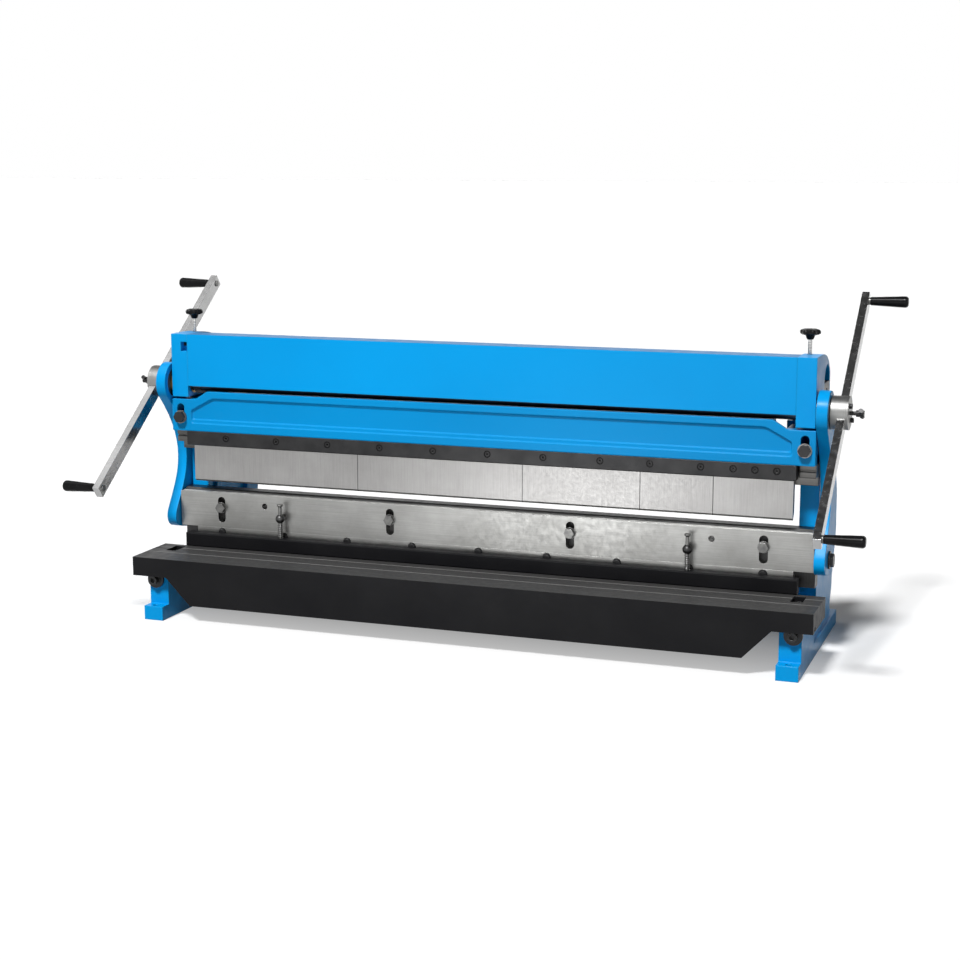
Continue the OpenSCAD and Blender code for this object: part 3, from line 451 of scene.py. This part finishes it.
# Share of the enamel's colour on the beam: painted shade, so the beam shows darker than the cover
BEAM_SHADE = 0.82

# The front of the beam stands on the fingers, and the plastic of a knob on its stud
BEAM_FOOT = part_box("finger_1")[1].z
KNOB_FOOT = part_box("left_pressure_knob")[1].z - KNOB_HEIGHT
head_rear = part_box("brake_beam")[0].y - HEAD_BACK
table_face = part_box("table")[1].z - PLANED_DEPTH
table_front, table_back = (corner.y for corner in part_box("table"))
table_glint_lines = [table_front + share * (table_back - table_front) for share in GLINT_SHARES]
cover_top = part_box("roll_cover")[1].z - COVER_EDGE

PLANED_TABLE = black_casting("planed_table", sheen=0.10, bare_above=table_face, steps=table_glint_lines)
COVER_ENAMEL = gloss_enamel("cover_enamel", dim_above=cover_top)
BEAM_ENAMEL = gloss_enamel("beam_enamel", bare_below=BEAM_FOOT, depth=BEAM_SHADE)
KNOB_PLASTIC = moulded_plastic("knob_plastic", steel_below=KNOB_FOOT)
OTHER_LOOKS = {
    FINGER: FINGERS,
    CHROME: ["left_crank_bar", "right_crank_bar"],
    TURNED: ["hubs", "hub_caps", "upper_roll", "lower_roll", "rear_roll", "rear_tie_rod"],
    SHADE_DARK_STEEL: ["drive_shaft", "drive_gear", "lower_roll_gear", "upper_roll_gear", "rear_roll_blocks",
            "upper_roll_blocks", "ram", "eye_studs"],
    DULL_BLACK: ["hold_down_bar"],
    PLANED_TABLE: ["table"],
    COVER_ENAMEL: ["roll_cover"],
    washer_and_hex(head_rear): ["brake_beam_bolts"],
}
for look, names in OTHER_LOOKS.items():
    for name in names:
        dress(name, look)


# Pieces that stand for or dress the CAD nodes

SHARP_ANGLE = math.radians(35)


def add_piece(name, mesh_maker, body, look):
    """Makes a mesh with bmesh code, gives it a look and lets it ride on a CAD body, if one is named."""
    work = bmesh.new()
    mesh_maker(work)
    bmesh.ops.recalc_face_normals(work, faces=work.faces)
    for edge in work.edges:
        edge.smooth = len(edge.link_faces) == 2 and edge.calc_face_angle() < SHARP_ANGLE
    mesh = bpy.data.meshes.new(name)
    work.to_mesh(mesh)
    work.free()
    for face in mesh.polygons:
        face.use_smooth = True
    mesh.materials.append(look)
    piece = bpy.data.objects.new(name, mesh)
    bpy.context.scene.collection.objects.link(piece)
    if body:
        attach(piece, body)
    return piece


def wall(work, near, far):
    """The faces between two rings with as many points each."""
    for i in range(len(near)):
        k = (i + 1) % len(near)
        work.faces.new((near[i], near[k], far[k], far[i]))


def loft(work, rings):
    """A closed form through rings with as many points each."""
    for near, far in zip(rings, rings[1:]):
        wall(work, near, far)
    work.faces.new(rings[0][::-1])
    work.faces.new(rings[-1])


def sweep(work, path, radius, sides):
    """A round tube along the points of a coil, with each ring square to the path."""
    axis = sum(path, Vector()) / len(path)
    rings = []
    for i, point in enumerate(path):
        ahead = path[min(i + 1, len(path) - 1)] - path[max(i - 1, 0)]
        ahead.normalize()
        side = Vector((point.x - axis.x, point.y - axis.y, 0)).normalized()
        up = ahead.cross(side).normalized()
        side = up.cross(ahead)
        ring = []
        for k in range(sides):
            a = 2 * math.pi * k / sides
            ring.append(work.verts.new(point + radius * (math.cos(a) * side + math.sin(a) * up)))
        rings.append(ring)
    loft(work, rings)


def across(depth, a, b):
    """A point of a plate that lies in Y and Z, at a depth along X."""
    return (depth, a, b)


def upright(depth, a, b):
    """A point of a plate that stands in X and Z, at a depth along Y."""
    return (a, depth, b)


def flat_face(work, loops, place, depth):
    """A face with holes: the first loop is its outline. Gives back the rings of points."""
    rings = []
    rims = []
    for loop in loops:
        ring = [work.verts.new(place(depth, a, b)) for a, b in loop]
        rims += [work.edges.new(pair) for pair in zip(ring, ring[1:] + ring[:1])]
        rings.append(ring)
    bmesh.ops.triangle_fill(work, use_beauty=True, use_dissolve=False, edges=rims)
    return rings


def plate_with_holes(work, loops, place, start, end):
    """A flat plate between two depths: the first loop is its outline, the others are holes."""
    for near, far in zip(flat_face(work, loops, place, start), flat_face(work, loops, place, end)):
        wall(work, near, far)


def block(work, x0, x1, y0, y1, z0, z1):
    """A box between two places on each axis."""
    plate_with_holes(work, [[(x0, z0), (x1, z0), (x1, z1), (x0, z1)]], upright, y0, y1)


def arc(centre, radius, first, last, count):
    """Points on a circle in the plane of a plate, from one angle in degrees to another."""
    angles = [math.radians(first + (last - first) * i / count) for i in range(count + 1)]
    return [(centre[0] + radius * math.cos(a), centre[1] + radius * math.sin(a)) for a in angles]


def circle(centre, radius, count):
    """Points all round a circle in the plane of a plate."""
    return arc(centre, radius, 0, 360 - 360 / count, count - 1)


def smooth_run(a, b, c, d, count=14):
    """Points on a smooth run from a to d, pulled towards b and c; the last point is left out."""
    points = []
    for i in range(count):
        t = i / count
        weights = ((1 - t) ** 3, 3 * t * (1 - t) ** 2, 3 * t * t * (1 - t), t ** 3)
        points.append(tuple(sum(w * p[k] for w, p in zip(weights, (a, b, c, d))) for k in (0, 1)))
    return points


# Connecting rods: bores and turning points of the outline, in Y and Z
RING = (-0.062, 0.496)
RING_RADIUS = 0.0435
RING_START = -20
RING_END = 225
ECCENTRIC_RADIUS = 0.0311
PIN = (-0.020, 0.197)
PIN_RADIUS = 0.0101
WAIST = (-0.0185, 0.328)
WAIST_BACK = (0.0235, 0.328)
TOE = (-0.070, 0.212)
TOE_LOW = (-0.049, 0.172)
EYE_LOW = (-0.013, 0.1655)
EYE_BACK = (0.022, 0.206)
# Points that the curves between them are pulled towards, and how far the curves run straight
RING_PULL = 0.045
WAIST_PULL = 0.046
SHIN_PULL = (-0.050, 0.2466)
TOE_PULLS = ((-0.080, 0.1947), (-0.072, 0.176))
SOLE_PULLS = ((-0.038, 0.170), (-0.025, 0.167))
EYE_PULLS = ((0.009, 0.163), (0.022, 0.180))
BACK_PULLS = ((0.022, 0.247), (0.0235, 0.287))
NECK_PULL = (0.0235, 0.388)
JOIN_OUT = 0.022
JOIN_DROP = 0.042
# Points on round and on curved parts of the outline
RING_STEPS = 48
PIN_STEPS = 36
SHORT_STEPS = 8
SOLE_STEPS = 3


def rod_loops():
    """Outline of a connecting rod: ring, bowed arm, toe and eye, with the holes for eccentric and pin."""
    over = arc(RING, RING_RADIUS, RING_START, RING_END, RING_STEPS)
    join = over[0]
    leave = over[-1]
    leave_pull = (leave[0] + RING_PULL, leave[1] - RING_PULL)
    join_pull = (join[0] + JOIN_OUT, join[1] - JOIN_DROP)
    outline = over[:-1]
    outline += smooth_run(leave, leave_pull, (WAIST[0], WAIST[1] + WAIST_PULL), WAIST)
    outline += smooth_run(WAIST, (WAIST[0], WAIST[1] - WAIST_PULL), SHIN_PULL, TOE)
    outline += smooth_run(TOE, *TOE_PULLS, TOE_LOW, SHORT_STEPS)
    outline += smooth_run(TOE_LOW, *SOLE_PULLS, EYE_LOW, SOLE_STEPS)
    outline += smooth_run(EYE_LOW, *EYE_PULLS, EYE_BACK, SHORT_STEPS)
    outline += smooth_run(EYE_BACK, *BACK_PULLS, WAIST_BACK)
    outline += smooth_run(WAIST_BACK, NECK_PULL, join_pull, join)
    return [outline, circle(RING, ECCENTRIC_RADIUS, RING_STEPS), circle(PIN, PIN_RADIUS, PIN_STEPS)]


for name in ("left_connecting_rod", "right_connecting_rod"):
    rod_low, rod_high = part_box(name)
    make_rod = partial(plate_with_holes, loops=rod_loops(), place=across, start=rod_low.x, end=rod_high.x)
    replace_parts(add_piece(name + "_casting", make_rod, name, ENAMEL), name)


# Brake beam: heights over its foot, depths behind its front, and lengths from the inside of the frames,
# which lie FRAME_LAP from its ends
BEAM_LOW, BEAM_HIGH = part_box("brake_beam")
BEAM_HALF = BEAM_HIGH.x
BEAM_FRONT = BEAM_LOW.y
BEAM_REAR = BEAM_HIGH.y
END_HEIGHT = 0.0694
TOP_RISE = 0.018
FRAME_LAP = 0.040
BEAM_END = BEAM_FOOT + END_HEIGHT
BEAM_TOP = BEAM_END + TOP_RISE
FRAME_IN = BEAM_HALF - FRAME_LAP
SHOULDER_OUT = 0.016
SHOULDER_IN = 0.045
BEAM_CORNER = 0.004
CORNER_STEPS = 3
LIP_DEPTH = 0.010
WEB_DEPTH = 0.022
WEB_SHORT = 0.052
SHELF_HEIGHT = 0.0654
SHELF_THICK = 0.016
SHELF_SHORT = 0.0002
FLANGE_THICK = 0.0194
# Ribs between flange and shelf; they end at a place on the Y axis
RIBS_A_SIDE = 4
RIB_PITCH = 0.12
RIB_HALF = 0.006
RIB_REAR = -0.004
# Seat of the clamp bar behind the fingers, posts behind the slots, and slit ears under the ends
SEAT_DEPTH = 0.021
SEAT_DROP = 0.046
POST_LAP = 0.02
EAR_OUT = 0.007
EAR_FRONT = 0.020
EAR_BACK = 0.024
EAR_DROP = 0.027
SLIT_TOP = 0.011
SLIT_FOOT = 0.015
# Slots for the bolts
SLOT_OUT = 0.0195
SLOT_X = FRAME_IN + SLOT_OUT
SLOT_RADIUS = 0.00875
SLOT_TOP = 0.0507
SLOT_FOOT = 0.0301
SLOT_STEPS = 12
# Recess in the front: its lower and upper end corners, its shoulders, and how fast these follow the inset
RECESS_END = 0.004
RECESS_LEAN = 0.005
RECESS_SIDE = 0.046
RECESS_SHOULDER = 0.058
SHOULDER_SHARE = 0.4
RECESS_DROP = 0.0135
RECESS_CORNER = 0.012
# Each step of the recess: how far it lies inside the rim, the height of its lower edge, and its depth
RECESS_STEPS = (
    (0.0, 0.0165, 0.0), (0.0012, 0.0179, 0.0022),
    (0.0020, 0.0247, 0.0026), (0.0036, 0.0262, 0.005),
)
LONGEST_CORNER = 0.45


def rounded(points, radius, count=5):
    """The same outline with its corners rounded off."""
    result = []
    for i, corner in enumerate(points):
        ends = []
        for other in (points[i - 1], points[(i + 1) % len(points)]):
            share = min(LONGEST_CORNER, radius / math.dist(corner, other))
            ends.append(tuple(c + share * (o - c) for c, o in zip(corner, other)))
        result += smooth_run(ends[0], corner, corner, ends[1], count) + [ends[1]]
    return result


def mirrored(points):
    """Points of the right half, from below upwards, followed by the same points on the left."""
    return points + [(-x, z) for x, z in reversed(points)]


def slot_loop(side):
    """The slot at the right end of the beam, or at the left end where side is -1."""
    top = arc((SLOT_X * side, BEAM_FOOT + SLOT_TOP), SLOT_RADIUS, 0, 180, SLOT_STEPS)
    return top + arc((SLOT_X * side, BEAM_FOOT + SLOT_FOOT), SLOT_RADIUS, 180, 360, SLOT_STEPS)


def recess_loop(inset, low):
    """Outline of one step of the recess, with ends that slant in to the shoulders."""
    lower = (FRAME_IN - RECESS_END - inset, BEAM_FOOT + low)
    upper = (FRAME_IN - RECESS_LEAN - inset, BEAM_FOOT + RECESS_SIDE)
    shoulder = (FRAME_IN - RECESS_SHOULDER - SHOULDER_SHARE * inset, BEAM_TOP - RECESS_DROP - inset)
    return rounded(mirrored([lower, upper, shoulder]), RECESS_CORNER)


def beam_mesh(work):
    """The beam: a front with a stepped recess and slots, web, flange, shelf, ribs, ends and bar seat."""
    lip = BEAM_FRONT + LIP_DEPTH
    web = BEAM_FRONT + WEB_DEPTH
    right = [(BEAM_HALF, BEAM_FOOT), (BEAM_HALF, BEAM_END)]
    right += [(FRAME_IN - SHOULDER_OUT, BEAM_END), (FRAME_IN - SHOULDER_IN, BEAM_TOP)]
    outline = rounded(mirrored(right), BEAM_CORNER, CORNER_STEPS)
    slots = [slot_loop(1), slot_loop(-1)]
    steps = [recess_loop(inset, low) for inset, low, depth in RECESS_STEPS]
    front = flat_face(work, [outline, *slots, steps[0]], upright, BEAM_FRONT)
    back = flat_face(work, [outline, *slots], upright, lip)
    for near, far in zip(front, back):
        wall(work, near, far)
    ring = front[-1]
    for loop, (inset, low, depth) in list(zip(steps, RECESS_STEPS))[1:-1]:
        inner = [work.verts.new(upright(BEAM_FRONT + depth, x, z)) for x, z in loop]
        wall(work, ring, inner)
        ring = inner
    wall(work, ring, flat_face(work, [steps[-1]], upright, BEAM_FRONT + RECESS_STEPS[-1][2])[0])
    flange = BEAM_FOOT + FLANGE_THICK
    shelf = BEAM_FOOT + SHELF_HEIGHT
    reach = FRAME_IN - WEB_SHORT
    block(work, -reach, reach, lip, web, BEAM_FOOT, shelf + SHELF_THICK)
    block(work, -BEAM_HALF, BEAM_HALF, web, BEAM_REAR, BEAM_FOOT, flange)
    block(work, -reach, reach, web, BEAM_REAR - SHELF_SHORT, shelf, shelf + SHELF_THICK)
    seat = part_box("finger_1")[1].y
    block(work, -BEAM_HALF, BEAM_HALF, seat, seat + SEAT_DEPTH, BEAM_FOOT - SEAT_DROP, BEAM_FOOT)
    ear_front = BEAM_FRONT + EAR_FRONT
    ear_back = BEAM_FRONT + EAR_BACK
    ear_low = BEAM_FOOT - EAR_DROP
    for side in (1, -1):
        inner, outer = sorted((side * (FRAME_IN - POST_LAP), side * BEAM_HALF))
        post = [(inner, BEAM_FOOT), (outer, BEAM_FOOT), (outer, BEAM_END), (inner, BEAM_END)]
        plate_with_holes(work, [post, slot_loop(side)], upright, lip, BEAM_REAR)
        inner, outer = sorted((side * (FRAME_IN + EAR_OUT), side * BEAM_HALF))
        block(work, inner, outer, ear_back, seat, ear_low, BEAM_FOOT)
        block(work, inner, outer, ear_front, ear_back, BEAM_FOOT - SLIT_TOP, BEAM_FOOT)
        block(work, inner, outer, ear_front, ear_back, ear_low, BEAM_FOOT - SLIT_FOOT)
    for i in range(-RIBS_A_SIDE, RIBS_A_SIDE + 1):
        middle = RIB_PITCH * i
        block(work, middle - RIB_HALF, middle + RIB_HALF, web, RIB_REAR, flange, shelf)


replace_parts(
    add_piece("brake_beam_casting", beam_mesh, "brake_beam", BEAM_ENAMEL), "brake_beam",
)


# Set screws over each finger: from its left end to the first one, from one to the next,
# and what at least is left to its right end
SCREW_INSETS = (0.095, 0.065, 0.055, 0.028, 0.046)
SCREW_PITCHES = (0.120, 0.120, 0.120, 0.103, 0.043)
SCREW_END = 0.008
SCREW_DROP = 0.0125
RIM_RADIUS = 0.0074
SOCKET_RADIUS = 0.0051
RIM_STEPS = 36
RIM_PROUD = 0.0003
RIM_SUNK = 0.0005


def shade_ring_mesh(work):
    """A thin dark ring round each set screw in the clamp bar, as painted shade for a countersink."""
    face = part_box("finger_clamp_bar")[0].y
    for name, inset, pitch in zip(FINGERS, SCREW_INSETS, SCREW_PITCHES):
        low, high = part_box(name)
        count = int((high.x - low.x - SCREW_END - inset) / pitch) + 1
        for i in range(count):
            centre = (low.x + inset + i * pitch, BEAM_FOOT - SCREW_DROP)
            loops = [circle(centre, radius, RIM_STEPS) for radius in (RIM_RADIUS, SOCKET_RADIUS)]
            plate_with_holes(work, loops, upright, face - RIM_PROUD, face + RIM_SUNK)


# Painted shade: dark rings laid on the clamp bar stand for the shade in countersinks
add_piece("clamp_screw_shade_rings", shade_ring_mesh, "brake_beam", PLASTIC)


# Pressure knobs
KNOB_LOBES = 6
KNOB_SIDES = 72
STUD_RADIUS = 0.004
STUD_GAP = 0.0001
# Height over the foot of the plastic, radius and depth of the lobes at each level of a knob
KNOB_LEVELS = (
    (0.0, 0.0062, 0.0), (0.0085, 0.0098, 0.0), (0.0095, 0.0165, 0.03), (0.0118, 0.0200, 0.08),
    (0.0158, 0.0205, 0.09), (0.0190, 0.0180, 0.08), (0.0208, 0.0120, 0.03), (0.0210, 0.0060, 0.0),
)


def knob_mesh(work, centre, foot, stud_low):
    """A plain stud with a lobed knob on it."""
    levels = ((stud_low - foot, STUD_RADIUS, 0.0), (-STUD_GAP, STUD_RADIUS, 0.0), *KNOB_LEVELS)
    rings = []
    for height, radius, lobe in levels:
        ring = []
        for k in range(KNOB_SIDES):
            a = 2 * math.pi * k / KNOB_SIDES
            reach = radius * (1 - lobe * (1 - math.cos(KNOB_LOBES * a)))
            spot = (centre.x + reach * math.cos(a), centre.y + reach * math.sin(a), foot + height)
            ring.append(work.verts.new(spot))
        rings.append(ring)
    loft(work, rings)


for name in ("left_pressure_knob", "right_pressure_knob"):
    low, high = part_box(name)
    make_knob = partial(knob_mesh, centre=(low + high) / 2, foot=KNOB_FOOT, stud_low=low.z)
    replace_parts(add_piece(name + "_moulding", make_knob, name, KNOB_PLASTIC), name)


# Springs on the rods of the hold-down
SPRING_CURLS = 7
SPRING_WIRE = 0.0016
CURL_STEPS = 28
WIRE_SIDES = 10


def spring_mesh(work, low, high, centre, radius):
    """A wound wire between two heights, with short straight ends."""
    steps = CURL_STEPS * SPRING_CURLS
    rise = high - low - 2 * SPRING_WIRE
    path = [Vector((centre.x + radius, centre.y, low))]
    for i in range(steps + 1):
        a = 2 * math.pi * SPRING_CURLS * i / steps
        place = Vector((math.cos(a), math.sin(a), 0)) * radius
        path.append(centre + place + Vector((0, 0, low + SPRING_WIRE + rise * i / steps)))
    path.append(Vector((centre.x + radius, centre.y, high)))
    sweep(work, path, SPRING_WIRE / 2, WIRE_SIDES)


spring_low, spring_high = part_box("hold_down_springs")
spring_radius = (spring_high.y - spring_low.y) / 2 - SPRING_WIRE / 2
spring_y = (spring_low.y + spring_high.y) / 2
spring_x = spring_high.x - spring_radius - SPRING_WIRE / 2
for side_name, side in (("left", -1), ("right", 1)):
    middle = Vector((side * spring_x, spring_y, 0))
    make_spring = partial(
        spring_mesh, low=spring_low.z, high=spring_high.z, centre=middle, radius=spring_radius,
    )
    spring = add_piece(side_name + "_hold_down_spring", make_spring, None, WIRE)
    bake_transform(spring)
    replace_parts(spring, "hold_down_springs")


# Floor, light and camera

SKY_LEVEL = 0.12
# Heights of the direction at which the white walls end and the dim ceiling begins, and their levels
CEILING_BAND = (0.30, 0.75)
CEILING_LEVELS = (1.0, 0.06)


def seen_rays(tree):
    """1 for rays that show the background to the camera, in metal or through glass, and 0 for the rest."""
    path = tree.nodes.new("ShaderNodeLightPath")
    seen = path.outputs["Is Camera Ray"]
    for kind in ("Is Glossy Ray", "Is Transmission Ray"):
        either = tree.nodes.new("ShaderNodeMath")
        either.operation = "MAXIMUM"
        tree.links.new(seen, either.inputs[0])
        tree.links.new(path.outputs[kind], either.inputs[1])
        seen = either.outputs["Value"]
    return seen


def studio_world():
    """White all round for the camera and for reflections, with a dim ceiling; soft and grey as a light."""
    world = bpy.data.worlds.new("studio")
    bpy.context.scene.world = world
    world.use_nodes = True
    tree = world.node_tree
    tree.nodes.clear()
    out = tree.nodes.new("ShaderNodeOutputWorld")
    direction = tree.nodes.new("ShaderNodeTexCoord")
    split = tree.nodes.new("ShaderNodeSeparateXYZ")
    ceiling = tree.nodes.new("ShaderNodeValToRGB")
    for element, place, level in zip(ceiling.color_ramp.elements, CEILING_BAND, CEILING_LEVELS):
        element.position = place
        element.color = (*grey(level), 1)
    shown = tree.nodes.new("ShaderNodeBackground")
    lit = tree.nodes.new("ShaderNodeBackground")
    lit.inputs["Color"].default_value = (1, 1, 1, 1)
    lit.inputs["Strength"].default_value = SKY_LEVEL
    mix = tree.nodes.new("ShaderNodeMixShader")
    tree.links.new(direction.outputs["Generated"], split.inputs["Vector"])
    tree.links.new(split.outputs["Z"], ceiling.inputs["Fac"])
    tree.links.new(ceiling.outputs["Color"], shown.inputs["Color"])
    tree.links.new(seen_rays(tree), mix.inputs["Fac"])
    tree.links.new(lit.outputs["Background"], mix.inputs[1])
    tree.links.new(shown.outputs["Background"], mix.inputs[2])
    tree.links.new(mix.outputs["Shader"], out.inputs["Surface"])


FLOOR_REACH = 60.0
FLOOR_BOUNCE = grey(0.3)
PAPER = 0.95
# Share of the paper's white that is a glow in front of the object, and half the width over which it fades
FRONT_LIFT = 0.5
LIFT_FADE = 0.2


def studio_floor():
    """Pale paper; in front of the object part of its white is a glow, so that the shadow is soft there."""
    mesh = bpy.data.meshes.new("floor")
    corners = [(x * FLOOR_REACH, y * FLOOR_REACH, 0) for x, y in ((-1, -1), (1, -1), (1, 1), (-1, 1))]
    mesh.from_pydata(corners, [], [(0, 1, 2, 3)])
    floor = bpy.data.objects.new("floor", mesh)
    bpy.context.scene.collection.objects.link(floor)
    s = Shader("floor_paper")
    seen = seen_rays(s.tree)
    behind = s.beyond("Y", 0.0, LIFT_FADE)
    paper = s.mix(behind, grey(PAPER * (1 - FRONT_LIFT)), grey(PAPER))
    s.feed("Base Color", s.mix(seen, FLOOR_BOUNCE, paper))
    lift = s.add("ShaderNodeMath", operation="MULTIPLY")
    s.link(seen, lift.inputs[0])
    s.link(s.between(behind, FRONT_LIFT, 0.0), lift.inputs[1])
    s.feed("Emission Strength", lift.outputs["Value"])
    s.set(Roughness=1.0, Specular_IOR_Level=0.0, Emission_Color=(1, 1, 1, 1))
    mesh.materials.append(s.material)


def aim(light, place, target):
    """Puts a lamp in the scene, turned towards a target."""
    light.location = place
    light.rotation_euler = (Vector(target) - Vector(place)).to_track_quat("-Z", "Y").to_euler()
    bpy.context.scene.collection.objects.link(light)


SUN_PLACE = (0, 0, 4)


def soft_sun(strength, travel, spread):
    """A far, broad lamp that lights the whole floor evenly."""
    lamp = bpy.data.lights.new("key", "SUN")
    lamp.energy = strength
    lamp.angle = math.radians(spread)
    aim(bpy.data.objects.new("key", lamp), SUN_PLACE, Vector(SUN_PLACE) + Vector(travel))


def area_light(name, place, target, size, power):
    """A rectangular panel of light."""
    lamp = bpy.data.lights.new(name, "AREA")
    lamp.shape = "RECTANGLE"
    lamp.size, lamp.size_y = size
    lamp.energy = power
    aim(bpy.data.objects.new(name, lamp), place, target)


studio_world()
studio_floor()
soft_sun(strength=3.8, travel=(0.084, 0.596, -0.80), spread=9)
area_light("front_panel", place=(0.6, -3.9, 0.35), target=(0.5, 0, 0.3), size=(1.0, 0.6), power=7)
area_light("low_panel", place=(-0.1, -1.4, 0.03), target=(-0.1, -1.4, 2.0), size=(0.5, 1.4), power=10)
area_light("side_panel", place=(-2.4, -0.2, 3.0), target=(-0.6, 0, 0.4), size=(2.0, 1.6), power=14)

CAMERA_PLACE = (1.237, -3.507, 0.988)
CAMERA_YAW = 19.65
CAMERA_PITCH = -10.33
CAMERA_SENSOR = 36
CAMERA_LENS = 67.2
camera_data = bpy.data.cameras.new("camera")
camera_data.sensor_width = CAMERA_SENSOR
camera_data.lens = CAMERA_LENS
camera = bpy.data.objects.new("camera", camera_data)
camera.location = CAMERA_PLACE
camera.rotation_euler = (math.radians(90 + CAMERA_PITCH), 0, math.radians(CAMERA_YAW))
bpy.context.scene.collection.objects.link(camera)
bpy.context.scene.camera = camera
bpy.context.scene.view_settings.view_transform = "Standard"
